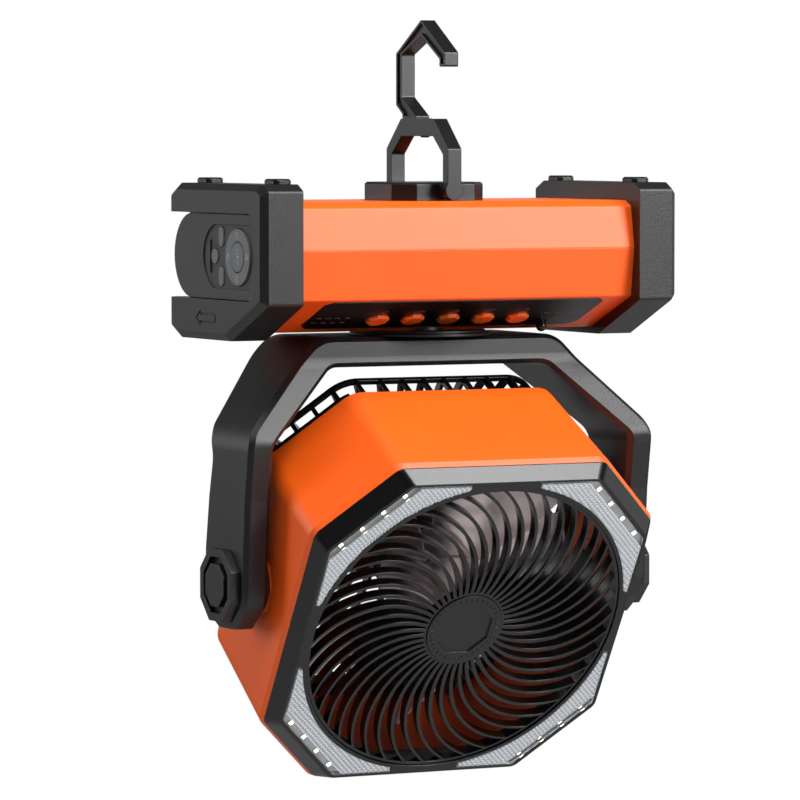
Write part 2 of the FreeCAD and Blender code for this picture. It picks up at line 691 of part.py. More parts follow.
def battery_holder():
    """Tray that carries the cells and stands on the lower shell's posts."""
    half = CELL_LENGTH + CELL_GAP
    low = cell_z() - CELL_RADIUS - HOLDER_THICKNESS
    front, back = cell_rows()[0] - CELL_RADIUS - 1, cell_rows()[-1] + CELL_RADIUS + 1
    tray = box((-half, half), (front, back), (low, low + HOLDER_THICKNESS))
    walls = [box((-half, half), (y, y + 1.5), (low, cell_z())) for y in (front - 1.5, back)]
    middle = box((-0.8, 0.8), (front, back), (low, cell_z()))
    legs = [box((x - 1, x + 1), (back - 8, back), (SHELL_BOTTOM + SHELL_WALL, low)) for x in (-55.0, 55.0)]
    legs += [box((x - 1, x + 1), (-3.0, 5.0), (SHELL_BOTTOM + SHELL_WALL, low)) for x in (-55.0, 55.0)]
    return join([tray] + walls + [middle] + legs)


def charging_board():
    """Upright board behind the back wall with its charging socket."""
    wall = HOUSING_DEPTH / 2 - SHELL_BACK_RECESS - SHELL_WALL
    foot_z = SHELL_BOTTOM + SHELL_WALL
    board = box((SOCKET_X - 18, SOCKET_X + 8), (wall - 9.0, wall - 7.4), (foot_z, SOCKET_Z + 6))
    half_x, half_z = SOCKET_SIZE[0] / 2 - 0.2, SOCKET_SIZE[1] / 2 - 0.2
    shape = moved_outline(octagon(half_x, half_z, half_z * 0.9), SOCKET_X, SOCKET_Z)
    can = prism("y", shape, wall - 7.4, wall + SHELL_WALL - 0.4)
    hole = prism("y", inset(shape, 0.35), wall - 5.0, wall + SHELL_WALL)
    return join([board, can.cut(hole)])


def swing_motor():
    """Geared motor over the swivel: two legs carry its flange above the bush."""
    top = cell_z() - CELL_RADIUS - HOLDER_THICKNESS - 0.5
    low = SWIVEL_FACE + BEARING_FLANGE + BEARING_HEIGHT + SWING_LIFT
    front, back = [SWIVEL_Y + y for y in SWING_BODY_Y]
    foot_z = SHELL_BOTTOM + SHELL_WALL
    left, right = SWING_BODY_X[0] - SWING_FLANGE[0], SWING_BODY_X[1] + SWING_FLANGE[0]
    body = box(SWING_BODY_X, (front, back), (low, top))
    flange = box((left, right), (front, back), (low, low + SWING_FLANGE[1]))
    legs = [box((x, x + SWING_LEG), (SWIVEL_Y, back), (foot_z, low)) for x in (left, right - SWING_LEG)]
    stub = cylinder(SWING_STUB[0], Vec(0, SWIVEL_Y, low - SWING_STUB[1]), Vec(0, 0, 1), SWING_STUB[1] + 0.5)
    return join([body, flange, stub] + legs)


def housing_screws():
    """Four screws that clamp the two halves of the housing."""
    screws = []
    for x in (-BOSS_X, BOSS_X):
        for y in BOSS_YS:
            head = cylinder(SCREW_HEAD_RADIUS, Vec(x, y, SHELL_BOTTOM), Vec(0, 0, 1), SCREW_HEAD)
            shank = cylinder(SCREW_RADIUS, Vec(x, y, screw_low()), Vec(0, 0, 1), screw_length())
            slot = prism("z", moved_outline(even_octagon(2.4), x, y), SHELL_BOTTOM - 1, SHELL_BOTTOM + 1.0)
            screws.append(join([head, shank]).cut(slot))
    return Part.makeCompound(screws)


def plate_screws():
    x, y = [size / 2 - margin for size, margin in zip(PLATE_SIZE, PLATE_SCREW_INSET)]
    return [(sx * x, sy * y) for sx in (-1, 1) for sy in (-1, 1)]


def hook_plate():
    """Octagonal block on the housing's top, with a boss at each end of the hook's pivot."""
    shape = octagon(PLATE_SIZE[0] / 2, PLATE_SIZE[1] / 2, PLATE_CUT)
    block = prism("z", shape, -SHELL_TOP_DROP, PLATE_TOP - 1.0, 1.2)
    crown = taper("z", shape, PLATE_TOP - 1.0, inset(shape, 1.0), PLATE_TOP, 1.2)
    bosses = []
    root = PLATE_SIZE[1] / 2 - 0.5
    for side in (-1, 1):
        start = Vec(0, side * root, HOOK_PIVOT_Z)
        bosses.append(cylinder(PIN_BOSS_RADIUS, start, Vec(0, side, 0), HOOK_LEG_INNER - 0.3 - root))
    holes = [cylinder(SCREW_RADIUS, Vec(x, y, -SHELL_TOP_DROP), Vec(0, 0, 1), 5.0) for x, y in plate_screws()]
    for side in (-1, 1):
        start = Vec(0, side * (PLATE_SIZE[1] / 2 - 8), HOOK_PIVOT_Z)
        holes.append(cylinder(PIN_RADIUS, start, Vec(0, side, 0), 20.0))
    return join([block, crown] + bosses).cut(holes)


def hook_pins():
    """Two pins, pressed into the plate, that the hook's legs turn on."""
    length = HOOK_LEG_OUTER - 1.2 - PLATE_SIZE[1] / 2 + 8
    pins = []
    for side in (-1, 1):
        start = Vec(0, side * (PLATE_SIZE[1] / 2 - 8), HOOK_PIVOT_Z)
        pins.append(cylinder(PIN_RADIUS, start, Vec(0, side, 0), length))
    return Part.makeCompound(pins)


def plate_fixings():
    """Screws that hold the hook plate from inside the housing."""
    under = -SHELL_TOP_DROP - SHELL_WALL
    screws = []
    for x, y in plate_screws():
        start = Vec(x, y, under - PLATE_SCREW_HEAD)
        head = cylinder(SCREW_HEAD_RADIUS, start, Vec(0, 0, 1), PLATE_SCREW_HEAD)
        shank = cylinder(SCREW_RADIUS, Vec(x, y, under), Vec(0, 0, 1), SHELL_WALL + PLATE_SCREW_REACH)
        screws.append(join([head, shank]))
    return Part.makeCompound(screws)


def hook_profile():
    """The hook's open path: tip, peak, stem, and the bar over its two legs."""
    return [
        (HOOK_TIP_Y[0], HOOK_TIP_Z), (HOOK_TIP_Y[0], HOOK_CORNER_Z),
        (HOOK_PEAK_Y, HOOK_PEAK_INNER + HOOK_PEAK),
        (HOOK_STEM_Y[1], HOOK_CORNER_Z), (HOOK_STEM_Y[1], HOOK_BAR_TOP + 6.6),
        (HOOK_STEM_Y[0] - 0.9, HOOK_BAR_TOP + 2.2), (HOOK_STEM_Y[0] - 0.9, HOOK_BAR_TOP),
        (-1.0, HOOK_BAR_TOP), (HOOK_STEM_Y[0], HOOK_BAR_TOP + 10.3), (HOOK_STEM_Y[0], HOOK_CORNER_Z - 0.6),
        (HOOK_PEAK_Y, HOOK_PEAK_INNER), (HOOK_TIP_Y[1], HOOK_CORNER_Z - 3.0), (HOOK_TIP_Y[1], HOOK_TIP_Z),
    ]


def loop_profile():
    """The arch below the hook: bar, sloping shoulders and two legs down to the pivot."""
    outer, inner = HOOK_LEG_OUTER, HOOK_LEG_INNER
    right = [(outer, HOOK_PIVOT_Z), (outer, HOOK_SHOULDER_Z), (17.0, HOOK_BAR_TOP)]
    hollow = [(inner, HOOK_SHOULDER_Z - 2.6), (16.6, HOOK_BAR_BOTTOM)]
    left = [(-y, z) for y, z in reversed(right)]
    inside = [(-inner, HOOK_PIVOT_Z)] + [(-y, z) for y, z in hollow] + hollow[::-1]
    return right + left + inside + [(inner, HOOK_PIVOT_Z)]


def hook():
    """Folding hook with a grooved section, round leg ends and blind pivot holes."""
    half = HOOK_THICKNESS / 2
    top = prism("x", hook_profile(), -half, half, 0.8)
    loop = prism("x", loop_profile(), -half, half, 0.6)
    root = box((-half, half), (-1.5, HOOK_STEM_Y[0] - 0.8), (HOOK_BAR_TOP - 2, HOOK_BAR_TOP + 0.2))
    ends = []
    for side in (-1, 1):
        low = side * HOOK_LEG_INNER
        ends.append(cylinder(HOOK_LEG_RADIUS, Vec(0, low, HOOK_PIVOT_Z), Vec(0, side, 0), HOOK_LEG))
        span = sorted((low, side * HOOK_LEG_OUTER))
        ends.append(box((-half, half), span, (HOOK_PIVOT_Z, HOOK_PIVOT_Z + 3)))
    bump = cylinder(3.0, Vec(-1.6, -1.5, HOOK_BAR_BOTTOM - HOOK_BUMP + 3.0), Vec(1, 0, 0), 3.2)
    body = join([top, loop, root, bump] + ends)
    cuts = []
    for side in (-1, 1):
        start = Vec(0, side * (HOOK_LEG_INNER - 1), HOOK_PIVOT_Z)
        cuts.append(cylinder(PIN_RADIUS + PIN_CLEARANCE, start, Vec(0, side, 0), HOOK_LEG))
        cuts.append(hook_groove(side))
    return body.cut(cuts)


def hook_groove(side):
    """Channel along the tip, stem, bar and legs on one side face, inside an even rim."""
    flat = Part.Face(outline("x", hook_profile()))
    flat = flat.fuse(Part.Face(outline("x", loop_profile()))).removeSplitter().Faces[0]
    floor = flat.makeOffset2D(-HOOK_RIM)
    floor.translate(Vec(side * HOOK_THICKNESS / 2, 0, 0))
    channel = floor.extrude(Vec(-side * HOOK_GROOVE, 0, 0))
    window = box((-HOOK_THICKNESS, HOOK_THICKNESS), (-50.0, 50.0), (HOOK_PIVOT_Z + 6.0, 100.0))
    return channel.common(window)


def remote_split():
    return REMOTE_FACE_X + REMOTE_SPLIT


def remote_places():
    """Place of the remote's small buttons: one round and one oblong each side of it."""
    small, side = REMOTE_FRONT_Y + REMOTE_SMALL_PLACE, REMOTE_FRONT_Y + REMOTE_SIDE_PLACE
    return [(small, 0.0), (side, REMOTE_SIDE_Z), (side, -REMOTE_SIDE_Z)]


def remote_button_shape(index, low, high, grow=0.0):
    """Round or oblong prism of one small button of the remote, along x."""
    y, dz = remote_places()[index]
    if index == 0:
        return cylinder(REMOTE_SMALL_RADIUS + grow, Vec(low, y, REMOTE_Z), Vec(1, 0, 0), high - low)
    half = (REMOTE_SIDE_SIZE[0] / 2 + grow, REMOTE_SIDE_SIZE[1] / 2 + grow)
    shape = moved_outline(octagon(half[0], half[1], 1.4), y, REMOTE_Z + dz)
    return prism("x", shape, low, high, 1.0)


def remote_front_case():
    """Front of the remote, with its sunken key field."""
    face, split = REMOTE_FACE_X, remote_split()
    body = remote_block(face, split)
    inside = remote_block(face + 2.2, split, -REMOTE_WALL)
    near, far = [REMOTE_FRONT_Y + place for place in REMOTE_PAD]
    low, high = REMOTE_Z - REMOTE_PAD_HEIGHT / 2, REMOTE_Z + REMOTE_PAD_HEIGHT / 2
    pad = [(near, low), (far, low), (far, high), (near, high)]
    field = prism("x", pad, face - 1, face + REMOTE_PAD_DEPTH, 5.0)
    start = Vec(face - 1, REMOTE_FRONT_Y + REMOTE_RING_PLACE, REMOTE_Z)
    holes = [cylinder(REMOTE_RING_RADIUS + 0.2, start, Vec(1, 0, 0), 4.0)]
    holes += [remote_button_shape(i, face - 1, face + 3, 0.2) for i in range(3)]
    return body.cut([inside, field, thumb_crescent()] + holes)


def thumb_crescent():
    """Shallow crescent behind the key field, where a thumb pushes the remote out."""
    near, far = [REMOTE_FRONT_Y + place - REMOTE_THUMB_RADIUS for place in REMOTE_THUMB_REACH]
    low = REMOTE_FACE_X - 1
    depth = REMOTE_THUMB_DEPTH + 1
    disc = cylinder(REMOTE_THUMB_RADIUS, Vec(low, far, REMOTE_Z), Vec(1, 0, 0), depth)
    return disc.cut(cylinder(REMOTE_THUMB_RADIUS, Vec(low, near, REMOTE_Z), Vec(1, 0, 0), depth))


def remote_back_case():
    """Back of the remote, with the two flanges that run in the slot's rails."""
    split, back = remote_split(), REMOTE_BACK_X
    body = remote_block(split, back)
    flange = remote_block(back - REMOTE_FLANGE[1], back, REMOTE_FLANGE[0])
    inside = remote_block(split, back - 1.3, -REMOTE_WALL)
    return join([body, flange]).cut(inside)


def remote_ring_button():
    """Four-way ring key."""
    start = Vec(REMOTE_FACE_X - 0.2, REMOTE_FRONT_Y + REMOTE_RING_PLACE, REMOTE_Z)
    bore = REMOTE_OFF_RADIUS + REMOTE_OFF_GAP
    key = ring(REMOTE_RING_RADIUS, bore, start, Vec(1, 0, 0), 3.6)
    flange = ring(REMOTE_RING_RADIUS + 0.9, bore, start + Vec(2.6, 0, 0), Vec(1, 0, 0), 1.0)
    return join([key, flange])


def remote_off_button():
    """Round key in the middle of the ring."""
    start = Vec(REMOTE_FACE_X - 0.3, REMOTE_FRONT_Y + REMOTE_RING_PLACE, REMOTE_Z)
    return cylinder(REMOTE_OFF_RADIUS, start, Vec(1, 0, 0), 3.7)


def remote_small_button(index):
    low = REMOTE_FACE_X + 0.3
    key = remote_button_shape(index, low, low + 2.9)
    flange = remote_button_shape(index, low + 2.1, low + 2.9, 0.7)
    return join([key, flange])


def remote_board():
    """Circuit board across the remote."""
    low = REMOTE_FACE_X + 4.0
    return remote_block(low, low + 0.9, -REMOTE_WALL - 0.2)


def remote_coin_cell():
    start = Vec(REMOTE_FACE_X + 5.0, REMOTE_FRONT_Y + REMOTE_CELL_PLACE, REMOTE_Z)
    return cylinder(REMOTE_CELL_RADIUS, start, Vec(1, 0, 0), 3.1)


def swivel_bearing():
    """Fixed bush in the housing's floor that the yoke's shaft turns in."""
    start = Vec(0, SWIVEL_Y, SWIVEL_FACE)
    flange = cylinder(BEARING_RADIUS, start, Vec(0, 0, 1), BEARING_FLANGE)
    sleeve = cylinder(SHAFT_RADIUS + BEARING_SLEEVE, start, Vec(0, 0, 1), BEARING_FLANGE + BEARING_HEIGHT)
    bore = cylinder(SHAFT_RADIUS + RUNNING_CLEARANCE, start, Vec(0, 0, 1), BEARING_FLANGE + BEARING_HEIGHT)
    return join([flange, sleeve]).cut(bore)


def swivel_shaft():
    """Turning disc and hollow shaft on top of the yoke."""
    low = YOKE_TOP
    disc = cylinder(SWIVEL_DISC_RADIUS, Vec(0, SWIVEL_Y, low), Vec(0, 0, 1), SWIVEL_FACE - SWIVEL_GAP - low)
    top = SWIVEL_FACE + BEARING_FLANGE + BEARING_HEIGHT + 3.0
    shaft = cylinder(SHAFT_RADIUS, Vec(0, SWIVEL_Y, low), Vec(0, 0, 1), top - low)
    bore = cylinder(SHAFT_BORE, Vec(0, SWIVEL_Y, low), Vec(0, 0, 1), top - low)
    groove = ring(SHAFT_RADIUS + 1, SHAFT_RADIUS - 1.5, Vec(0, SWIVEL_Y, top - 2.6), Vec(0, 0, 1), 1.6)
    return join([disc, shaft]).cut([bore, groove])


def swivel_clip():
    """Retaining ring that keeps the shaft in its bush."""
    top = SWIVEL_FACE + BEARING_FLANGE + BEARING_HEIGHT + 3.0
    return ring(SHAFT_RADIUS + 2.6, SHAFT_RADIUS - 1.5, Vec(0, SWIVEL_Y, top - 2.6), Vec(0, 0, 1), 1.6)


def yoke_band(wall):
    """Front view of the arch between its outer and inner edges, moved in by a wall."""
    elbow = YOKE_TOP - YOKE_ELBOW_DROP
    outer = [(YOKE_HALF - YOKE_SHOULDER, YOKE_TOP), (YOKE_HALF, elbow), (YOKE_HALF, YOKE_FOOT - 10)]
    under, inner_elbow = YOKE_TOP - YOKE_TOP_THICKNESS, YOKE_TOP - YOKE_INNER_ELBOW_DROP
    shoulder = YOKE_INNER - YOKE_INNER_SHOULDER
    inner = [(shoulder, under), (YOKE_INNER, inner_elbow), (YOKE_INNER, YOKE_FOOT - 20)]
    outside = inset([(-x, z) for x, z in reversed(outer)] + outer, wall)
    inside = inset([(-x, z) for x, z in reversed(inner)] + inner, -wall)
    depth = (-80.0, 80.0)
    return prism("y", outside, *depth, YOKE_CORNER).cut(prism("y", inside, *depth, YOKE_INNER_CORNER))


def yoke_edge(front):
    """Side-view edge of the arch: its upper points hang from the top, its lower from the pivot."""
    upper, lower = (YOKE_FRONT_TOP, YOKE_FRONT_ARM) if front else (YOKE_BACK_TOP, YOKE_BACK_ARM)
    return [(y, YOKE_TOP + z) for y, z in upper] + [(y, PIVOT_Z + z) for y, z in lower]


def level(line, z):
    """The y of a side-view edge at a height."""
    for (y0, z0), (y1, z1) in zip(line, line[1:]):
        if z1 <= z <= z0:
            return y0 + (y1 - y0) * (z0 - z) / (z0 - z1)
    return line[-1][0]


def yoke_seam():
    """Side view of the parting line: half way between the front and back edges."""
    front, back = yoke_edge(True), yoke_edge(False)
    heights = [z for y, z in front]
    return [((level(front, z) + level(back, z)) / 2, z) for z in heights]


def rim_edges(solid, edge):
    """Edges along the outer and inner rims of the arch's front face, above its foot."""
    rims = []
    for line in solid.Edges:
        extent = line.BoundBox
        middle = line.valueAt((line.FirstParameter + line.LastParameter) / 2)
        on_front = abs(middle.y - level(edge, middle.z)) < 1.6
        crossing = extent.YLength < 0.01 and extent.ZLength < 0.01
        if on_front and not crossing and middle.z > YOKE_FOOT + 12:
            rims.append(line)
    return rims


def yoke_half(front):
    """One moulded half of the arch: hollow, with posts and pivot bosses."""
    seam = yoke_seam()
    edge = yoke_edge(front)
    side = 1 if front else -1
    skin = [(y + side * YOKE_WALL, z) for y, z in edge]
    skin = [(skin[0][0], YOKE_TOP + 1)] + skin[1:-1] + [(skin[-1][0], YOKE_FOOT + YOKE_WALL)]
    reach = YOKE_HALF + 1
    bends = [0.0] + [YOKE_BEND] * (len(edge) - 2) + [0.0] * (len(seam) + 1)
    whole = prism("x", edge + seam[::-1], -reach, reach, bends)
    hollow_seam = [(y + side * 1.0, z) for y, z in seam]
    hollow = prism("x", skin + hollow_seam[::-1], -reach, reach)
    solid = yoke_band(0.0).common(whole)
    if front:
        solid = solid.makeChamfer(YOKE_EDGE_CHAMFER, rim_edges(solid, edge))
    shell = solid.cut(yoke_band(YOKE_WALL).common(hollow))
    posts = []
    for x in (-1, 1):
        start = Vec(x * (YOKE_INNER), PIVOT_Y, PIVOT_Z)
        posts.append(cylinder(TRUNNION_RADIUS + 6.0, start, Vec(x, 0, 0), YOKE_ARM))
    shell = join([shell, Part.makeCompound(posts).common(whole)])
    bores = []
    for x in (-1, 1):
        start = Vec(x * (YOKE_INNER - 1), PIVOT_Y, PIVOT_Z)
        bores.append(cylinder(TRUNNION_RADIUS + RUNNING_CLEARANCE, start, Vec(x, 0, 0), TRUNNION_DEPTH + 1.5))
    start = Vec(0, SWIVEL_Y, YOKE_TOP - YOKE_WALL - 1)
    bores.append(cylinder(SHAFT_BORE, start, Vec(0, 0, 1), YOKE_WALL + 3))
    return shell.cut(bores)


def pivot_cover(side):
    """Octagonal cover over the pivot on an arm's outer face."""
    shape = moved_outline(even_octagon(COVER_FLATS), PIVOT_Y, PIVOT_Z)
    raised = moved_outline(even_octagon(COVER_INNER_FLATS), PIVOT_Y, PIVOT_Z)
    groove = moved_outline(even_octagon(COVER_GROOVE_FLATS), PIVOT_Y, PIVOT_Z)
    face = YOKE_HALF + COVER_HEIGHT
    body = prism("x", shape, YOKE_HALF, face, 0.8)
    channel = prism("x", groove, face - COVER_GROOVE, face).cut(prism("x", raised, face - COVER_GROOVE, face))
    knob = prism("x", raised, face - COVER_GROOVE, face + COVER_INNER_RISE, 0.8)
    cover = join([body.cut(channel), knob])
    return cover if side > 0 else cover.mirror(Vec(0, 0, 0), Vec(1, 0, 0))


def on_head(shape):
    """Set a piece drawn in the head's own frame at its tilt on the pivot."""
    placed = shape.copy()
    placed.rotate(Vec(0, 0, 0), Vec(1, 0, 0), TILT_DEG)
    placed.translate(Vec(0, PIVOT_Y, PIVOT_Z))
    return placed


def shroud_back():
    return octagon(HEAD_BACK_HALF, HEAD_BACK_HALF, HEAD_BACK_CUT)


def shroud():
    """Orange octagonal duct of the head: it narrows a little to the back and has a front lip."""
    outer = octagon(HEAD_HALF, HEAD_HALF, HEAD_CUT)
    body = taper("y", outer, HEAD_FRONT, shroud_back(), HEAD_BACK, HEAD_CORNER, HEAD_BACK_CORNER)
    lip = taper("y", outer, HEAD_FRONT, inset(outer, HEAD_LIP_INSET), HEAD_FRONT - HEAD_LIP, HEAD_CORNER)
    liner = HEAD_CORNER - HEAD_WALL
    throat = prism("y", inset(outer, HEAD_WALL), HEAD_FRONT - HEAD_LIP - 1, HEAD_FRONT, liner)
    hollow = taper("y", inset(outer, HEAD_WALL), HEAD_FRONT, inset(shroud_back(), HEAD_WALL), HEAD_BACK,
                   liner, HEAD_BACK_CORNER - HEAD_WALL)
    holes = cylinder(TRUNNION_RADIUS, Vec(-HEAD_HALF - 1, 0, 0), Vec(1, 0, 0), 2 * HEAD_HALF + 2)
    starts = (-HEAD_HALF, HEAD_HALF - TRUNNION_PAD)
    pads = [prism("x", even_octagon(2 * TRUNNION_FLANGE), x, x + TRUNNION_PAD) for x in starts]
    return on_head(join([body.cut(hollow), lip.cut(throat)] + pads).cut(holes))


def trunnion(side):
    """Hollow pivot pin with its flange, clamped through the shroud's side wall."""
    inner = HEAD_HALF - TRUNNION_PAD
    reach = YOKE_INNER + TRUNNION_DEPTH
    pin = cylinder(TRUNNION_RADIUS, Vec(inner - 3, 0, 0), Vec(1, 0, 0), reach - inner + 3)
    flange = cylinder(TRUNNION_FLANGE, Vec(HEAD_HALF, 0, 0), Vec(1, 0, 0), YOKE_INNER - 0.3 - HEAD_HALF)
    nut = prism("x", even_octagon(2 * TRUNNION_NUT), inner - 3, inner)
    bore = cylinder(TRUNNION_BORE, Vec(inner - 4, 0, 0), Vec(1, 0, 0), reach)
    part = join([pin, flange, nut]).cut(bore)
    return on_head(part if side > 0 else part.mirror(Vec(0, 0, 0), Vec(1, 0, 0)))


def lens_profile(grow=0.0):
    """One corner lens seen from the front: octagon outside, circle inside, square tips."""
    outer = prism("y", octagon(LENS_HALF + grow, LENS_HALF + grow, LENS_CUT), 0.0, 1.0, 3.0)
    corner = box((LENS_TIP - grow, 100.0), (0.0, 1.0), (LENS_TIP - grow, 100.0))
    inner = cylinder(RIM_RADIUS - grow, Vec(0, 0, 0), Vec(0, 1, 0), 1.0)
    return outer.common(corner).cut(inner)


def lens_solid(index, front, back, grow=0.0):
    """A lens-shaped solid in one of the four corners, between two depths."""
    face = min(lens_profile(grow).Faces, key=lambda f: f.CenterOfMass.y)
    shape = face.copy()
    shape.translate(Vec(0, front, 0))
    solid = shape.extrude(Vec(0, back - front, 0))
    if index in (1, 2):
        solid = solid.mirror(Vec(0, 0, 0), Vec(1, 0, 0))
    if index in (2, 3):
        solid = solid.mirror(Vec(0, 0, 0), Vec(0, 0, 1))
    return solid


def front_bezel():
    """Black frame round the grille, with four windows for the lamp lenses."""
    back = HEAD_FRONT - HEAD_LIP
    wide = octagon(BEZEL_HALF, BEZEL_HALF, BEZEL_CUT)
    narrow = octagon(BEZEL_FACE_HALF, BEZEL_FACE_HALF, BEZEL_CUT)
    slope = taper("y", wide, back, narrow, BEZEL_FACE, 6.0)
    lining = inset(octagon(HEAD_HALF, HEAD_HALF, HEAD_CUT), HEAD_WALL + BEZEL_FIT)
    skirt = prism("y", lining, back, back + BEZEL_SKIRT, HEAD_CORNER - HEAD_WALL)
    slope_inside = taper("y", inset(wide, 3.5), back, inset(narrow, 1.2), BEZEL_FACE + BEZEL_SKIN, 5.0)
    skirt_inside = prism("y", inset(wide, 3.5), back, back + BEZEL_SKIRT, 5.0)
    opening = cylinder(OPENING_RADIUS, Vec(0, BEZEL_FACE - 1, 0), Vec(0, 1, 0), 30.0)
    collar = ring(RIM_RADIUS - LENS_GAP - 0.1, OPENING_RADIUS, Vec(0, BEZEL_FACE, 0), Vec(0, 1, 0), 9.0)
    frame = join([slope.cut(slope_inside), skirt.cut(skirt_inside)]).cut(opening)
    windows = [lens_solid(i, BEZEL_FACE - 1, BEZEL_FACE + BEZEL_SKIN, LENS_GAP) for i in range(4)]
    return on_head(join([frame, collar]).cut(windows))


def lamp_lens(index):
    """Clear corner lens, set in its window."""
    return on_head(lens_solid(index, BEZEL_FACE + 0.2, BEZEL_FACE + LENS_DEPTH))


def led_board(index):
    """Lamp board behind a lens, with its row of diodes."""
    back = BEZEL_FACE + LENS_DEPTH + 0.1 + 1.1
    plate = lens_solid(index, back, back + LED_BOARD_DEPTH)
    parts = [plate]
    sx = -1 if index in (1, 2) else 1
    sz = -1 if index in (2, 3) else 1
    half = LED_SIZE / 2
    for i in range(LED_COUNT):
        along = (i - (LED_COUNT - 1) / 2) * LED_PITCH
        chip = box((-half, half), (back - 1.0, back), (-half, half))
        chip.rotate(Vec(0, 0, 0), Vec(0, 1, 0), 45.0 * sx * sz)
        x = (LED_LINE - along) / math.sqrt(2) * sx
        z = (LED_LINE + along) / math.sqrt(2) * sz
        chip.translate(Vec(x, 0, z))
        parts.append(chip)
    return on_head(join(parts))


def polar(radius, degrees, y):
    angle = math.radians(degrees)
    return Vec(radius * math.cos(angle), y, radius * math.sin(angle))


def rib_edge(turn, width_side, y):
    """One edge of a swept rib, offset to either side of its middle line."""
    places = []
    for radius, sweep in zip((HUB_RADIUS, GRILLE_MID_RADIUS, GRILLE_OUTER_RADIUS), GRILLE_TURNS_DEG):
        offset = math.degrees(GRILLE_RIB / 2 / radius) * width_side
        places.append(polar(radius, turn + sweep + offset, y))
    return places


def front_grille():
    """Guard of swept ribs between a hub disc and a rim, cut as gaps out of one face."""
    y = GRILLE_FACE
    rim = Part.Wire(Part.makeCircle(OPENING_RADIUS - 0.2, Vec(0, y, 0), Vec(0, 1, 0)))
    gaps = []
    step = 360.0 / GRILLE_RIBS
    for i in range(GRILLE_RIBS):
        near = rib_edge(i * step, 1, y)
        far = rib_edge((i + 1) * step, -1, y)
        inner_middle = polar(HUB_RADIUS, (i + 0.5) * step, y)
        outer_middle = polar(GRILLE_OUTER_RADIUS, (i + 0.5) * step + GRILLE_TURNS_DEG[2], y)
        edges = [
            Part.Arc(*near).toShape(), Part.Arc(near[2], outer_middle, far[2]).toShape(),
            Part.Arc(*reversed(far)).toShape(), Part.Arc(far[0], inner_middle, near[0]).toShape(),
        ]
        gaps.append(Part.Wire(edges))
    face = Part.Face([rim] + gaps)
    guard = face.extrude(Vec(0, GRILLE_DEPTH, 0))
    seat = cylinder(HUB_RADIUS - 1.2, Vec(0, y - 1, 0), Vec(0, 1, 0), 2.6)
    return on_head(guard.cut(seat))


def hub_cap():
    """Round disc in the middle of the grille, with a sunken octagon."""
    low = GRILLE_FACE + 1.6
    disc = cylinder(HUB_RADIUS - 1.4, Vec(0, GRILLE_FACE - 0.6, 0), Vec(0, 1, 0), low - GRILLE_FACE + 0.6)
    field = prism("y", even_octagon(HUB_RECESS_FLATS), GRILLE_FACE - 1.6, GRILLE_FACE - 0.6 + HUB_RECESS)
    return on_head(disc.cut(field))


def turned(shape, count, index):
    """A copy of a piece, turned about the fan's axis to its place in a ring of equal pieces."""
    copy = shape.copy()
    copy.rotate(Vec(0, 0, 0), Vec(0, 1, 0), 360.0 / count * (index + 0.5))
    return copy


def cage_wall():
    """Side wall of the rear guard, cut into windows that start later on its four slants."""
    outer = octagon(CAGE_HALF, CAGE_HALF, CAGE_CUT)
    inner_radius = CAGE_CORNER - CAGE_WALL
    wall = prism("y", outer, HEAD_BACK, CAGE_RIM, CAGE_CORNER)
    wall = wall.cut(prism("y", inset(outer, CAGE_WALL), HEAD_BACK, CAGE_RIM, inner_radius))
    low = prism("y", outer, CAGE_BAND, CAGE_RIM, CAGE_CORNER)
    flat = (CAGE_CUT - CAGE_HALF, CAGE_HALF - CAGE_CUT)
    wide = (-100.0, 100.0)
    depth = (CAGE_BAND, CAGE_RIM)
    crosses = [box(flat, depth, wide), box(wide, depth, flat)]
    late = box(wide, (CAGE_BAND_DIAGONAL, CAGE_RIM), wide)
    bar = box((CAGE_RING_RADIUS, 130.0), depth, (-CAGE_STRUT / 2, CAGE_STRUT / 2))
    bars = Part.makeCompound([turned(bar, CAGE_RIBS, i) for i in range(CAGE_RIBS)])
    windows = low.common(join(crosses + [late])).cut(bars)
    return wall.cut(windows)


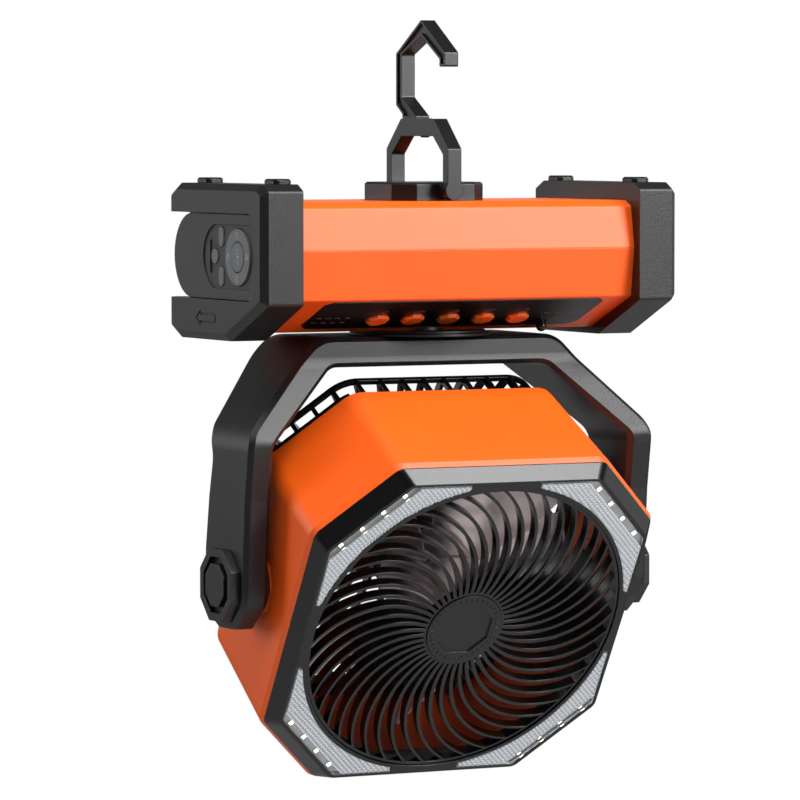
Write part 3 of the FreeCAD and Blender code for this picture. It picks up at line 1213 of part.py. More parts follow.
def rear_cage():
    """Rear guard: spigot in the shroud, slotted side wall, rim, and a spoked back."""
    outer = octagon(CAGE_HALF, CAGE_HALF, CAGE_CUT)
    fit = inset(shroud_back(), HEAD_WALL + 0.1)
    spigot = prism("y", inset(fit, 0.3), CAGE_FRONT, HEAD_BACK, HEAD_BACK_CORNER - HEAD_WALL)
    spigot = spigot.cut(prism("y", inset(outer, CAGE_WALL), CAGE_FRONT, HEAD_BACK, CAGE_CORNER - CAGE_WALL))
    turn = CAGE_BACK - CAGE_CHAMFER
    rim = prism("y", outer, CAGE_RIM, turn, CAGE_CORNER)
    edge = inset(outer, CAGE_CHAMFER)
    rim = rim.fuse(taper("y", outer, turn, edge, CAGE_BACK, CAGE_CORNER, CAGE_CORNER - CAGE_CHAMFER))
    rim = rim.cut(prism("y", inset(outer, CAGE_FLANGE), CAGE_RIM, CAGE_BACK, CAGE_CORNER - CAGE_FLANGE))
    back = CAGE_BACK - CAGE_RIB_DEPTH
    limit = prism("y", inset(outer, CAGE_FLANGE / 2), back, CAGE_BACK, CAGE_CORNER - CAGE_FLANGE / 2)
    across = (-CAGE_RIB / 2, CAGE_RIB / 2)
    long_rib = box((CAGE_RING_RADIUS, 130.0), (back, CAGE_BACK), across)
    short_rib = box((CAGE_PLATE_RADIUS - 1, CAGE_RING_RADIUS), (back, CAGE_BACK), across)
    ribs = [turned(long_rib, CAGE_RIBS, i) for i in range(CAGE_RIBS)]
    ribs += [turned(short_rib, CAGE_INNER_RIBS, i) for i in range(CAGE_INNER_RIBS)]
    plate = cylinder(CAGE_PLATE_RADIUS, Vec(0, back, 0), Vec(0, 1, 0), CAGE_RIB_DEPTH)
    hoop = ring(CAGE_RING_RADIUS + 1.3, CAGE_RING_RADIUS - 1.3, Vec(0, back, 0), Vec(0, 1, 0), CAGE_RIB_DEPTH)
    spokes = Part.makeCompound(ribs).common(limit)
    return on_head(join([spigot, cage_wall(), rim, spokes, plate, hoop]))


def motor_low():
    return CAGE_BACK - CAGE_RIB_DEPTH - MOTOR_LENGTH


def fan_motor():
    """Motor on the cage's plate."""
    can = cylinder(MOTOR_RADIUS, Vec(0, motor_low(), 0), Vec(0, 1, 0), MOTOR_LENGTH)
    nose = cylinder(6.0, Vec(0, motor_low() - 2.5, 0), Vec(0, 1, 0), 2.5)
    bore = cylinder(MOTOR_SHAFT_RADIUS + RUNNING_CLEARANCE, Vec(0, motor_low() - 3, 0), Vec(0, 1, 0), 20.0)
    return on_head(join([can, nose]).cut(bore))


def motor_shaft():
    """Steel shaft that carries the impeller."""
    start = IMPELLER_FRONT + 4.0
    return on_head(cylinder(MOTOR_SHAFT_RADIUS, Vec(0, start, 0), Vec(0, 1, 0), motor_low() + 14.0 - start))


def blade_section(radius, chord, pitch):
    """Closed thin section of a blade, square to its radius and cambered."""
    middle_y = IMPELLER_FRONT + IMPELLER_HUB_DEPTH / 2
    slope = math.radians(pitch)
    upper = []
    lower = []
    for share, camber in ((-0.5, 0.0), (-0.2, 0.07), (0.15, 0.08), (0.5, 0.0)):
        along = share * chord
        rise = camber * chord
        for side, line in ((0.5, upper), (-0.5, lower)):
            lift = rise + side * BLADE_THICKNESS
            z = along * math.cos(slope) - lift * math.sin(slope)
            y = along * math.sin(slope) + lift * math.cos(slope)
            line.append(Vec(radius, middle_y + y, z))
    return Part.makePolygon(upper + lower[::-1] + [upper[0]])


def impeller():
    """Hub cup and wide twisted blades."""
    start = Vec(0, IMPELLER_FRONT, 0)
    cup = cylinder(IMPELLER_HUB, start, Vec(0, 1, 0), IMPELLER_HUB_DEPTH)
    hollow = cylinder(IMPELLER_HUB - 2.5, start + Vec(0, 3.5, 0), Vec(0, 1, 0), IMPELLER_HUB_DEPTH)
    sleeve = cylinder(6.0, start, Vec(0, 1, 0), 16.0)
    blade = Part.makeLoft([blade_section(*station) for station in BLADE_STATIONS], True, True)
    limit = ring(IMPELLER_RADIUS, IMPELLER_HUB - 1.5, Vec(0, IMPELLER_FRONT - 30, 0), Vec(0, 1, 0), 90.0)
    blade = blade.common(limit)
    blades = []
    for i in range(IMPELLER_BLADES):
        turned = blade.copy()
        turned.rotate(Vec(0, 0, 0), Vec(0, 1, 0), 360.0 / IMPELLER_BLADES * i)
        blades.append(turned)
    bore = cylinder(MOTOR_SHAFT_RADIUS, start + Vec(0, 4.0, 0), Vec(0, 1, 0), 30.0)
    return on_head(join([cup.cut(hollow), sleeve] + blades).cut(bore))


save("housing_upper_shell", upper_shell())
save("housing_lower_shell", lower_shell())
save("end_cap_left", left_cap())
save("end_cap_right", right_cap())
foot_x, foot_y = HOUSING_LENGTH / 2 - FOOT_INSET[0], HOUSING_DEPTH / 2 - FOOT_INSET[1]
feet = [(sx * foot_x, sy * foot_y) for sx in (-1, 1) for sy in (-1, 1)]
for number, place in enumerate(feet, 1):
    save("foot_%d" % number, foot(*place))
save("control_panel", control_panel())
for title, (button_x, button_y) in zip(BUTTON_NAMES, button_places()):
    save("button_" + title, panel_button(button_x, button_y))
save("ir_receiver", ir_receiver())
save("control_board", control_board())
save("battery_cells", battery_cells())
save("battery_holder", battery_holder())
save("charging_board", charging_board())
save("swing_motor", swing_motor())
save("housing_screws", housing_screws())
save("hook_plate", hook_plate())
save("hook_pins", hook_pins())
save("hook_plate_screws", plate_fixings())
save("hook", hook())
save("remote_front_case", remote_front_case())
save("remote_back_case", remote_back_case())
save("remote_ring_button", remote_ring_button())
save("remote_off_button", remote_off_button())
for number in range(3):
    save("remote_button_%d" % (number + 1), remote_small_button(number))
save("remote_board", remote_board())
save("remote_coin_cell", remote_coin_cell())
save("swivel_bearing", swivel_bearing())
save("swivel_shaft", swivel_shaft())
save("swivel_clip", swivel_clip())
save("yoke_front_shell", yoke_half(True))
save("yoke_rear_shell", yoke_half(False))
save("pivot_cover_left", pivot_cover(-1))
save("pivot_cover_right", pivot_cover(1))
save("trunnion_left", trunnion(-1))
save("trunnion_right", trunnion(1))
save("head_shroud", shroud())
save("front_bezel", front_bezel())
for number in range(4):
    save("lamp_lens_%d" % (number + 1), lamp_lens(number))
    save("led_board_%d" % (number + 1), led_board(number))
save("front_grille", front_grille())
save("hub_cap", hub_cap())
save("rear_cage", rear_cage())
save("fan_motor", fan_motor())
save("motor_shaft", motor_shaft())
save("impeller", impeller())
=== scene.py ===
import math
import bpy
from mathutils import Matrix, Vector


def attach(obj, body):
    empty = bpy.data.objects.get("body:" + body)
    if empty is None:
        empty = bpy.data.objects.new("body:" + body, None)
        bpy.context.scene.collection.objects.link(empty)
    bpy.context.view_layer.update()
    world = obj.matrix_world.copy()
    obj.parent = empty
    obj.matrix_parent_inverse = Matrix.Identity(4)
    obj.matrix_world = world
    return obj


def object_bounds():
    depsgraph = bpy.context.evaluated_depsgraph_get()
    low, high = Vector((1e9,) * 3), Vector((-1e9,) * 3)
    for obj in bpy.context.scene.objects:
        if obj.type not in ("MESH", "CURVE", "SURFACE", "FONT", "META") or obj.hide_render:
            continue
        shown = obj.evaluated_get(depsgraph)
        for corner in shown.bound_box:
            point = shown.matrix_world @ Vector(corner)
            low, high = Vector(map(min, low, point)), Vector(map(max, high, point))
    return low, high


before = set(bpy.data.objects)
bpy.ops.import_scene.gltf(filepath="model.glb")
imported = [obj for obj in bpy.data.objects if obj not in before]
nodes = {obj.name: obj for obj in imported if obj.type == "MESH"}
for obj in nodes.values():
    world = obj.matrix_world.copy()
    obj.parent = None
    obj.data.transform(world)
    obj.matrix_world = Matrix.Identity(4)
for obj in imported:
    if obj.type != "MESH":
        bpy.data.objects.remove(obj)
cad_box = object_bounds()
MM = 0.001

# The view and the studio
# The camera looks at the fan from the left of its front, a little from above, from 2.5 m away.
# A large soft box stands in front on the right, one hangs over the fan, and a weaker one stands
# behind it on the left. A white backdrop lights it from behind; the room around it is dim.
VIEW_AZIMUTH = math.radians(-27.0)
VIEW_ELEVATION = math.radians(3.07)
VIEW_DISTANCE = 2.486
VIEW_TARGET = Vector((-0.01264, 0.0042, -0.1733))
FOCAL_LENGTH_MM = 234.5
BACKDROP_STRENGTH = 0.95
ROOM_STRENGTH = 0.16
OVERHEAD_SHARE = 0.12
FLOOR_DROP = 0.5
FLOOR_SIZE = 60.0


def add_node(tree, kind, inputs=None, **settings):
    """One node: settings are its properties, inputs are values or other nodes' outputs."""
    node = tree.nodes.new(kind)
    for name, value in settings.items():
        setattr(node, name, value)
    for name, value in (inputs or {}).items():
        if isinstance(value, bpy.types.NodeSocket):
            tree.links.new(value, node.inputs[name])
        else:
            node.inputs[name].default_value = value
    return node


def linear(hex_colour):
    """The linear colour of an sRGB hex value."""
    channels = [int(hex_colour[i:i + 2], 16) / 255 for i in (1, 3, 5)]
    return [c / 12.92 if c <= 0.04045 else ((c + 0.055) / 1.055) ** 2.4 for c in channels] + [1.0]


def towards(azimuth, elevation):
    """Unit vector from the fan to a place seen at that angle; azimuth 0 is the front."""
    level = math.cos(elevation)
    return Vector((math.sin(azimuth) * level, -math.cos(azimuth) * level, math.sin(elevation)))


def aim(thing, azimuth, elevation, distance):
    """Set a camera or a lamp at a place round the fan and turn it to the fan."""
    direction = towards(azimuth, elevation)
    thing.location = VIEW_TARGET + direction * distance
    thing.rotation_euler = direction.to_track_quat("Z", "Y").to_euler()


def softbox(name, azimuth, elevation, distance, size, watts):
    """A rectangular lamp that looks at the fan; its angles are in degrees."""
    lamp = bpy.data.lights.new(name, "AREA")
    lamp.shape = "RECTANGLE"
    lamp.size, lamp.size_y = size
    lamp.energy = watts
    piece = bpy.data.objects.new(name, lamp)
    bpy.context.scene.collection.objects.link(piece)
    aim(piece, math.radians(azimuth), math.radians(elevation), distance)


camera = bpy.data.objects.new("camera", bpy.data.cameras.new("camera"))
bpy.context.scene.collection.objects.link(camera)
bpy.context.scene.camera = camera
camera.data.lens = FOCAL_LENGTH_MM
aim(camera, VIEW_AZIMUTH, VIEW_ELEVATION, VIEW_DISTANCE)

softbox("key_box", azimuth=33, elevation=27, distance=2.2, size=(0.9, 1.8), watts=58)
softbox("top_box", azimuth=-15, elevation=66, distance=2.0, size=(1.4, 1.0), watts=42)
softbox("left_box", azimuth=-118, elevation=14, distance=2.0, size=(0.7, 1.2), watts=13)

# The camera, and rays that pass through clear plastic, see a plain white world. Every other ray
# sees the backdrop, which fades towards the camera's side and overhead.
bpy.context.scene.view_settings.view_transform = "Standard"
world = bpy.data.worlds.new("studio")
bpy.context.scene.world = world
world.use_nodes = True
world.node_tree.nodes.clear()
path = add_node(world.node_tree, "ShaderNodeLightPath")
through = add_node(world.node_tree, "ShaderNodeMath", {0: path.outputs["Is Camera Ray"],
                   1: path.outputs["Is Transmission Ray"]}, operation="MAXIMUM")
direction = add_node(world.node_tree, "ShaderNodeSeparateXYZ",
                     {0: add_node(world.node_tree, "ShaderNodeTexCoord").outputs["Generated"]})
behind = add_node(world.node_tree, "ShaderNodeMapRange", {"Value": direction.outputs["Y"], "From Min": -0.25,
                  "From Max": 0.35, "To Min": ROOM_STRENGTH, "To Max": BACKDROP_STRENGTH})
low = add_node(world.node_tree, "ShaderNodeMapRange", {"Value": direction.outputs["Z"], "From Min": 0.08,
               "From Max": 0.34, "To Min": 1.0, "To Max": OVERHEAD_SHARE})
backdrop = add_node(world.node_tree, "ShaderNodeMath", {0: behind.outputs["Result"],
                    1: low.outputs["Result"]}, operation="MULTIPLY")
strength = add_node(world.node_tree, "ShaderNodeMath", {0: backdrop.outputs[0], 1: through.outputs[0]},
                    operation="MAXIMUM")
air = add_node(world.node_tree, "ShaderNodeBackground", {"Color": (1, 1, 1, 1),
               "Strength": strength.outputs[0]})
add_node(world.node_tree, "ShaderNodeOutputWorld", {"Surface": air.outputs[0]})

# A sheet of paper half a metre below the fan. It glows plain white for the same rays that see a
# white world, and is matt and light grey for all others.
bpy.ops.mesh.primitive_plane_add(size=FLOOR_SIZE, location=(0, 0, cad_box[0][2] - FLOOR_DROP))
floor = bpy.context.object
floor.name = "floor"
paper = bpy.data.materials.new("white_paper_floor")
paper.use_nodes = True
paper.node_tree.nodes.clear()
seen = add_node(paper.node_tree, "ShaderNodeLightPath")
shown = add_node(paper.node_tree, "ShaderNodeMath", {0: seen.outputs["Is Camera Ray"],
                 1: seen.outputs["Is Transmission Ray"]}, operation="MAXIMUM")
matt = add_node(paper.node_tree, "ShaderNodeBsdfDiffuse", {"Color": linear("#B4B4B4")})
glow = add_node(paper.node_tree, "ShaderNodeEmission", {"Color": (1, 1, 1, 1), "Strength": 1.0})
blend = add_node(paper.node_tree, "ShaderNodeMixShader", {0: shown.outputs[0], 1: matt.outputs[0],
                 2: glow.outputs[0]})
add_node(paper.node_tree, "ShaderNodeOutputMaterial", {"Surface": blend.outputs[0]})
floor.data.materials.append(paper)


# The housing
# Two orange halves moulded in ABS, joined along a seam by screws from below. The mould's fine
# spark grain gives them a satin shine, and their edges are a little rounded. Every grain in this
# file is drawn coarser than the real one, so that it shows in the render.
ABS_IOR = 1.54
ABS_ORANGE = "#F86208"
ABS_ORANGE_DEEP = "#F05806"
TINT_DRIFT_MM = 45
GRAIN_SHINE_SPREAD = 0.06


def moulded(name, colour, shade, roughness, grain_mm, grain_depth_mm, edge_mm, ior=ABS_IOR):
    """Moulded plastic: the colour drifts softly, the grain dulls the shine, edges are eased."""
    material = bpy.data.materials.new(name)
    material.use_nodes = True
    tree = material.node_tree
    place = add_node(tree, "ShaderNodeTexCoord").outputs["Object"]
    drift = add_node(tree, "ShaderNodeTexNoise", {"Vector": place, "Scale": 1 / (TINT_DRIFT_MM * MM),
                     "Detail": 2.0})
    tint = add_node(tree, "ShaderNodeMixRGB", {"Fac": drift.outputs["Fac"], "Color1": linear(colour),
                    "Color2": linear(shade)})
    grain = add_node(tree, "ShaderNodeTexNoise", {"Vector": place, "Scale": 1 / (grain_mm * MM),
                     "Detail": 3.0})
    dull = add_node(tree, "ShaderNodeMapRange", {"Value": grain.outputs["Fac"],
                    "To Min": roughness - GRAIN_SHINE_SPREAD, "To Max": roughness + GRAIN_SHINE_SPREAD})
    eased = add_node(tree, "ShaderNodeBevel", {"Radius": edge_mm * MM}, samples=6)
    bump = add_node(tree, "ShaderNodeBump", {"Height": grain.outputs["Fac"], "Distance": grain_depth_mm * MM,
                    "Strength": 1.0, "Normal": eased.outputs[0]})
    shader = tree.nodes["Principled BSDF"]
    shader.inputs["IOR"].default_value = ior
    tree.links.new(tint.outputs["Color"], shader.inputs["Base Color"])
    tree.links.new(dull.outputs["Result"], shader.inputs["Roughness"])
    tree.links.new(bump.outputs["Normal"], shader.inputs["Normal"])
    return material


def dress(material, *names):
    """Give CAD nodes their finish."""
    for name in names:
        for place in nodes[name].material_slots:
            place.material = material


# Orange ABS with a fine grain: strong colour under broad, soft highlights.
orange = moulded("orange_abs_satin", ABS_ORANGE, ABS_ORANGE_DEEP,
                 roughness=0.42, grain_mm=0.9, grain_depth_mm=0.012, edge_mm=0.7)
dress(orange, "housing_upper_shell", "housing_lower_shell")

# The end caps and their rubber feet
# Black ABS caps with a coarser mould grain close the housing's ends; a small rubber foot with a
# domed crown is let into each corner on top.
# The caps' deep grain breaks the light into a grey speckle.
grained_black = moulded("grained_black_abs", "#101011", "#0C0C0D",
                        roughness=0.4, grain_mm=0.7, grain_depth_mm=0.06, edge_mm=0.4)
dress(grained_black, "end_cap_left", "end_cap_right")
# Smooth black rubber, shinier than the caps, with a soft highlight on each crown.
foot_rubber = moulded("foot_rubber", "#121213", "#0E0E0E",
                      roughness=0.3, grain_mm=0.8, grain_depth_mm=0.02, edge_mm=0.4, ior=1.5)
dress(foot_rubber, "foot_1", "foot_2", "foot_3", "foot_4")

# The control panel
# A thin black acrylic plate on the housing's front bevel, with holes for five push buttons and for
# the dome over the remote control's receiver.
# Smooth acrylic: an even black with clear highlights.
panel_black = moulded("panel_black_acrylic", "#0B0A0A", "#080808",
                      roughness=0.32, grain_mm=0.6, grain_depth_mm=0.004, edge_mm=0.2, ior=1.49)
dress(panel_black, "control_panel")
# Orange ABS a shade paler and smoother than the housing's.
key_orange = moulded("button_orange_abs", "#F56A18", "#EE5E10",
                     roughness=0.38, grain_mm=0.8, grain_depth_mm=0.008, edge_mm=0.5)
dress(key_orange, "button_lamp", "button_brightness", "button_fan_speed", "button_swing", "button_timer")
# Cast dark epoxy, polished: a small bright glint on a nearly black dome.
receiver_black = moulded("receiver_epoxy", "#120B0C", "#0D0809",
                         roughness=0.08, grain_mm=2.0, grain_depth_mm=0.002, edge_mm=0.1, ior=1.55)
dress(receiver_black, "ir_receiver")

# Power parts inside the housing
# Two printed circuit boards, six round cells in their black holder, and the motor that swings the
# yoke. The closed housing hides them, so they stay plain.
# Green varnish over the copper, half glossy. The remote's board has it too.
solder_mask = moulded("green_solder_mask", "#0E4A2B", "#0B3F24",
                      roughness=0.35, grain_mm=0.5, grain_depth_mm=0.01, edge_mm=0.1, ior=1.5)
dress(solder_mask, "control_board", "charging_board", "remote_board")
# Shrunk film round each cell, half glossy blue.
cell_sleeve = moulded("blue_cell_sleeve", "#1F4E96", "#1B4486",
                      roughness=0.35, grain_mm=1.5, grain_depth_mm=0.01, edge_mm=0.3, ior=1.5)
dress(cell_sleeve, "battery_cells")
# Plain black ABS, dull as inner parts are.
holder_black = moulded("holder_black_abs", "#202020", "#1A1A1A",
                       roughness=0.5, grain_mm=0.8, grain_depth_mm=0.02, edge_mm=0.3)
dress(holder_black, "battery_holder", "swing_motor")

# Screws, pins, clips and the coin cell
# Small steel parts, turned or pressed and then plated with zinc: the screws, the hook's pins, the
# swivel's clip and the motor's shaft. The remote's coin cell is near enough in colour to share it.
MARK_SHINE_SPREAD = 0.08


def turned_metal(name, colour, roughness, grain_mm):
    """Plated or bare metal: fine tool marks vary its shine."""
    material = bpy.data.materials.new(name)
    material.use_nodes = True
    tree = material.node_tree
    place = add_node(tree, "ShaderNodeTexCoord").outputs["Object"]
    marks = add_node(tree, "ShaderNodeTexNoise", {"Vector": place, "Scale": 1 / (grain_mm * MM),
                     "Detail": 4.0})
    dull = add_node(tree, "ShaderNodeMapRange", {"Value": marks.outputs["Fac"],
                    "To Min": roughness - MARK_SHINE_SPREAD, "To Max": roughness + MARK_SHINE_SPREAD})
    shader = tree.nodes["Principled BSDF"]
    shader.inputs["Base Color"].default_value = linear(colour)
    shader.inputs["Metallic"].default_value = 1.0
    tree.links.new(dull.outputs["Result"], shader.inputs["Roughness"])
    return material


# Zinc on steel: cool light grey with a soft shine.
zinc_steel = turned_metal("zinc_plated_steel", "#B9BBBE", roughness=0.32, grain_mm=0.4)
dress(zinc_steel, "housing_screws", "hook_pins", "hook_plate_screws", "swivel_clip", "remote_coin_cell",
      "motor_shaft")

# The folding hook
# A hook with an H-shaped section, moulded in nylon, turns on two pins in a plate that is screwed
# to the housing's top from inside.
# Nylon from a smooth mould: deep black with a satin shine.
satin_black = moulded("satin_black_nylon", "#0F0F10", "#0B0B0C",
                      roughness=0.3, grain_mm=0.9, grain_depth_mm=0.01, edge_mm=0.5, ior=1.53)
dress(satin_black, "hook", "hook_plate")

# The remote control
# A small hand remote slides into a slot in the left end cap. Its case is two dark ABS halves, and
# its keys are grey rubber.
# Soft, dull ABS that looks dark grey beside the black cap.
remote_black = moulded("remote_soft_black", "#2B2B2C", "#252526",
                       roughness=0.55, grain_mm=0.9, grain_depth_mm=0.01, edge_mm=0.5)
dress(remote_black, "remote_front_case", "remote_back_case")
# Silicone rubber in mid grey, dull all over.
key_grey = moulded("remote_grey_rubber", "#66686A", "#5F6163",
                   roughness=0.5, grain_mm=0.8, grain_depth_mm=0.01, edge_mm=0.5, ior=1.5)
dress(key_grey, "remote_ring_button", "remote_off_button", "remote_button_1", "remote_button_2",
      "remote_button_3")

# The swivel and the yoke
# A bush under the housing holds the yoke's hollow shaft. The yoke is two moulded shells with a
# round cover over each pivot, and hollow trunnions carry the head. All are black ABS; those in
# sight have the end caps' grain.
dress(grained_black, "swivel_bearing", "swivel_shaft", "yoke_front_shell", "yoke_rear_shell")
dress(grained_black, "pivot_cover_left", "pivot_cover_right")
dress(holder_black, "trunnion_left", "trunnion_right")

# The head's shroud and bezel
# An octagonal shroud moulded in the housing's orange ABS, closed at the front by a black bezel.
dress(orange, "head_shroud")
# Black ABS from a polished mould: it mirrors the studio softly.
frame_black = moulded("bezel_black_abs", "#0A0A0A", "#080808",
                      roughness=0.22, grain_mm=0.9, grain_depth_mm=0.002, edge_mm=0.6)
dress(frame_black, "front_bezel")

# The guards, the hub and the motor
# Thin moulded ribs guard the fan in front and behind. The motor sits in the rear cage, and the hub
# cap closes the middle of the front grille; both have the end caps' grain.
# Black ABS, the glossiest on the head, so each rib carries a thin line of light.
rib_black = moulded("guard_black_abs", "#090909", "#070707",
                    roughness=0.2, grain_mm=1.0, grain_depth_mm=0.002, edge_mm=0.5)
dress(rib_black, "front_grille", "rear_cage")
dress(grained_black, "hub_cap", "fan_motor")

# The lamps in the head's four corners
# Each corner has a white board with four diodes behind a lens moulded in clear polycarbonate.
# Small pyramids on the lens's face scatter the light, and a strip over the diodes is smooth. The
# pieces are drawn flat for one corner, then turned to all four.
HEAD_PIVOT = Vector((0, -0.4, -257.5)) * MM
HEAD_TILT = math.radians(31.0)
FLOW_MM = 6
FLOW_SHINE_SPREAD = 0.06
LENS_FACE = 43.85
LENS_OUTER = 83.0
LENS_EDGE = 93.0
LENS_INNER_RADIUS = 82.5
LENS_TIP = 18.6
LENS_GLOW = 0.1
OPENING_SIDES = 360
OPENING_DEPTH = 20
PRISM_PITCH = 1.9
PRISM_BASE = 0.1
PRISM_HEIGHT = 0.95
PRISM_CELLS = (50, 12)
PRISM_LINE = 89.6
PRISM_INSET = 0.6
DIODE_COUNT = 4
DIODE_PITCH = 12.4
DIODE_LINE = 91.0
DIODE_DEPTH = (39.8, 40.95)
DIODE_SIZE = 2.4
DIODE_RIM = 0.2
DIODE_GLOW = 5.0
# A face looks a given way when its normal's share in that way is over this.
NEARLY = 0.9
on_head = Matrix.Translation(HEAD_PIVOT) @ Matrix.Rotation(HEAD_TILT, 4, "X")
half_root = math.sqrt(0.5)
flat_corner = Matrix(((half_root, half_root, 0, 0), (0, 0, -1, 0),
                      (-half_root, half_root, 0, 0), (0, 0, 0, 1)))

# Glossy white varnish on the boards, which throws the diodes' light forward.
white_board = moulded("white_lamp_board", "#F2F2F0", "#ECECEA",
                      roughness=0.45, grain_mm=0.6, grain_depth_mm=0.01, edge_mm=0.1, ior=1.5)
dress(white_board, "led_board_1", "led_board_2", "led_board_3", "led_board_4")


def clear_plastic(name, colour, roughness, ior):
    """Clear moulded plastic: the way it flowed in the mould varies its shine."""
    material = bpy.data.materials.new(name)
    material.use_nodes = True
    tree = material.node_tree
    place = add_node(tree, "ShaderNodeTexCoord").outputs["Object"]
    flow = add_node(tree, "ShaderNodeTexNoise", {"Vector": place, "Scale": 1 / (FLOW_MM * MM), "Detail": 2.0})
    dull = add_node(tree, "ShaderNodeMapRange", {"Value": flow.outputs["Fac"], "To Min": roughness,
                    "To Max": roughness + FLOW_SHINE_SPREAD})
    shader = tree.nodes["Principled BSDF"]
    shader.inputs["Base Color"].default_value = linear(colour)
    shader.inputs["IOR"].default_value = ior
    shader.inputs["Transmission Weight"].default_value = 1.0
    tree.links.new(dull.outputs["Result"], shader.inputs["Roughness"])
    return material


# Polished polycarbonate: clear, with a faint cool tint.
lens_clear = clear_plastic("clear_polycarbonate", "#F4F6F8", roughness=0.05, ior=1.58)
dress(lens_clear, "lamp_lens_1", "lamp_lens_2", "lamp_lens_3", "lamp_lens_4")


def corner_place(index):
    """From a corner drawn flat in millimetres to its place on the head."""
    turn = Matrix.Rotation(math.radians(-90.0 * index), 4, "Y")
    return on_head @ turn @ flat_corner @ Matrix.Scale(MM, 4)


def select_faces(piece, test):
    """Select the faces of a piece that pass the test, and nothing else of it."""
    for parts in (piece.data.vertices, piece.data.edges, piece.data.polygons):
        for part in parts:
            part.select = False
    for face in piece.data.polygons:
        face.select = test(face)


def in_edit(operator, **settings):
    """Run one mesh operator on the selected faces."""
    bpy.ops.object.mode_set(mode="EDIT")
    bpy.ops.mesh.select_mode(type="FACE")
    operator(**settings)
    bpy.ops.object.mode_set(mode="OBJECT")


def copy_of(piece, name, place, body):
    """A copy with its own mesh, set at a place and riding on a body."""
    twin = piece.copy()
    twin.data = piece.data.copy()
    twin.name = name
    bpy.context.scene.collection.objects.link(twin)
    twin.data.transform(place)
    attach(twin, body)
    return twin


def trim(piece, x, y, distance):
    """Cut away what lies beyond a line of the flat drawing and close the cut."""
    select_faces(piece, lambda face: True)
    in_edit(bpy.ops.mesh.bisect, plane_co=(x * distance, y * distance, 0), plane_no=(x, y, 0),
            use_fill=True, clear_outer=True)


bpy.ops.mesh.primitive_grid_add(x_subdivisions=PRISM_CELLS[0], y_subdivisions=PRISM_CELLS[1], size=1.0)
sheet = bpy.context.object
wide, tall = [cells * PRISM_PITCH for cells in PRISM_CELLS]
sheet_place = Matrix.Translation((0, LENS_EDGE - tall / 2, LENS_FACE))
sheet.data.transform(sheet_place @ Matrix.Diagonal((wide, tall, 1, 1)))
select_faces(sheet, lambda face: True)
in_edit(bpy.ops.mesh.extrude_region_move, TRANSFORM_OT_translate={"value": (0, 0, PRISM_BASE)})
select_faces(sheet, lambda face: face.center.z > LENS_FACE + NEARLY * PRISM_BASE)
in_edit(bpy.ops.mesh.poke, offset=PRISM_HEIGHT)
select_faces(sheet, lambda face: True)
in_edit(bpy.ops.mesh.normals_make_consistent, inside=False)
trim(sheet, 0, 1, PRISM_LINE)
for side in (-1, 1):
    trim(sheet, side * half_root, half_root, LENS_OUTER - PRISM_INSET)
    trim(sheet, side * half_root, -half_root, -LENS_TIP)
bpy.ops.mesh.primitive_cylinder_add(vertices=OPENING_SIDES, radius=LENS_INNER_RADIUS, depth=OPENING_DEPTH,
                                    location=(0, 0, LENS_FACE))
opening = bpy.context.object
cutting = sheet.modifiers.new("round_opening", "BOOLEAN")
cutting.object = opening
cutting.operation = "DIFFERENCE"
cutting.solver = "EXACT"
bpy.context.view_layer.objects.active = sheet
bpy.ops.object.modifier_apply(modifier=cutting.name)
bpy.data.objects.remove(opening)
# Real prisms turn most light back inside the plastic, so they look silvery. Being partly metallic
# gives this thin sheet that look, and a faint glow stands for the diodes' light in the lens.
lit_lens = clear_plastic("lit_prismatic_polycarbonate", "#EEF1F4", roughness=0.06, ior=1.58)
lit_shader = lit_lens.node_tree.nodes["Principled BSDF"]
lit_shader.inputs["Transmission Weight"].default_value = 0.3
lit_shader.inputs["Metallic"].default_value = 0.7
lit_shader.inputs["Emission Color"].default_value = linear("#F4F6FA")
lit_shader.inputs["Emission Strength"].default_value = LENS_GLOW
sheet.data.materials.append(lit_lens)
for corner in range(4):
    copy_of(sheet, "lens_prisms_%d" % (corner + 1), corner_place(corner), "head")
bpy.data.objects.remove(sheet)

# Phosphor over the chip, lit: a small window of warm white light in a white case.
phosphor = bpy.data.materials.new("lit_diode_phosphor")
phosphor.use_nodes = True
phosphor_shader = phosphor.node_tree.nodes["Principled BSDF"]
phosphor_shader.inputs["Base Color"].default_value = linear("#FFF3DC")
phosphor_shader.inputs["Emission Color"].default_value = linear("#FFEFD2")
phosphor_shader.inputs["Emission Strength"].default_value = DIODE_GLOW
bpy.ops.mesh.primitive_cube_add(size=1.0)
diode = bpy.context.object
diode_height = DIODE_DEPTH[1] - DIODE_DEPTH[0]
diode.data.transform(Matrix.Diagonal((DIODE_SIZE, DIODE_SIZE, diode_height, 1)))
select_faces(diode, lambda face: face.normal.z > NEARLY)
in_edit(bpy.ops.mesh.inset, thickness=DIODE_RIM)
diode.data.materials.append(white_board)
diode.data.materials.append(phosphor)
for face in diode.data.polygons:
    if face.normal.z > NEARLY and face.center.xy.length < DIODE_RIM / 2:
        face.material_index = 1
for corner in range(4):
    for number in range(DIODE_COUNT):
        along = (number - (DIODE_COUNT - 1) / 2) * DIODE_PITCH
        spot = Matrix.Translation((along, DIODE_LINE, sum(DIODE_DEPTH) / 2))
        copy_of(diode, "diode_%d_%d" % (corner + 1, number + 1), corner_place(corner) @ spot, "head")
bpy.data.objects.remove(diode)

# The impeller
# Five blades round a hub, moulded in one piece in smoked plastic and pressed on the motor's shaft.
# The index is set below a real plastic's, so the thin blades look hazy and not like thick glass.
smoked = clear_plastic("smoked_blade_plastic", "#CDBDBE", roughness=0.34, ior=1.25)
dress(smoked, "impeller")

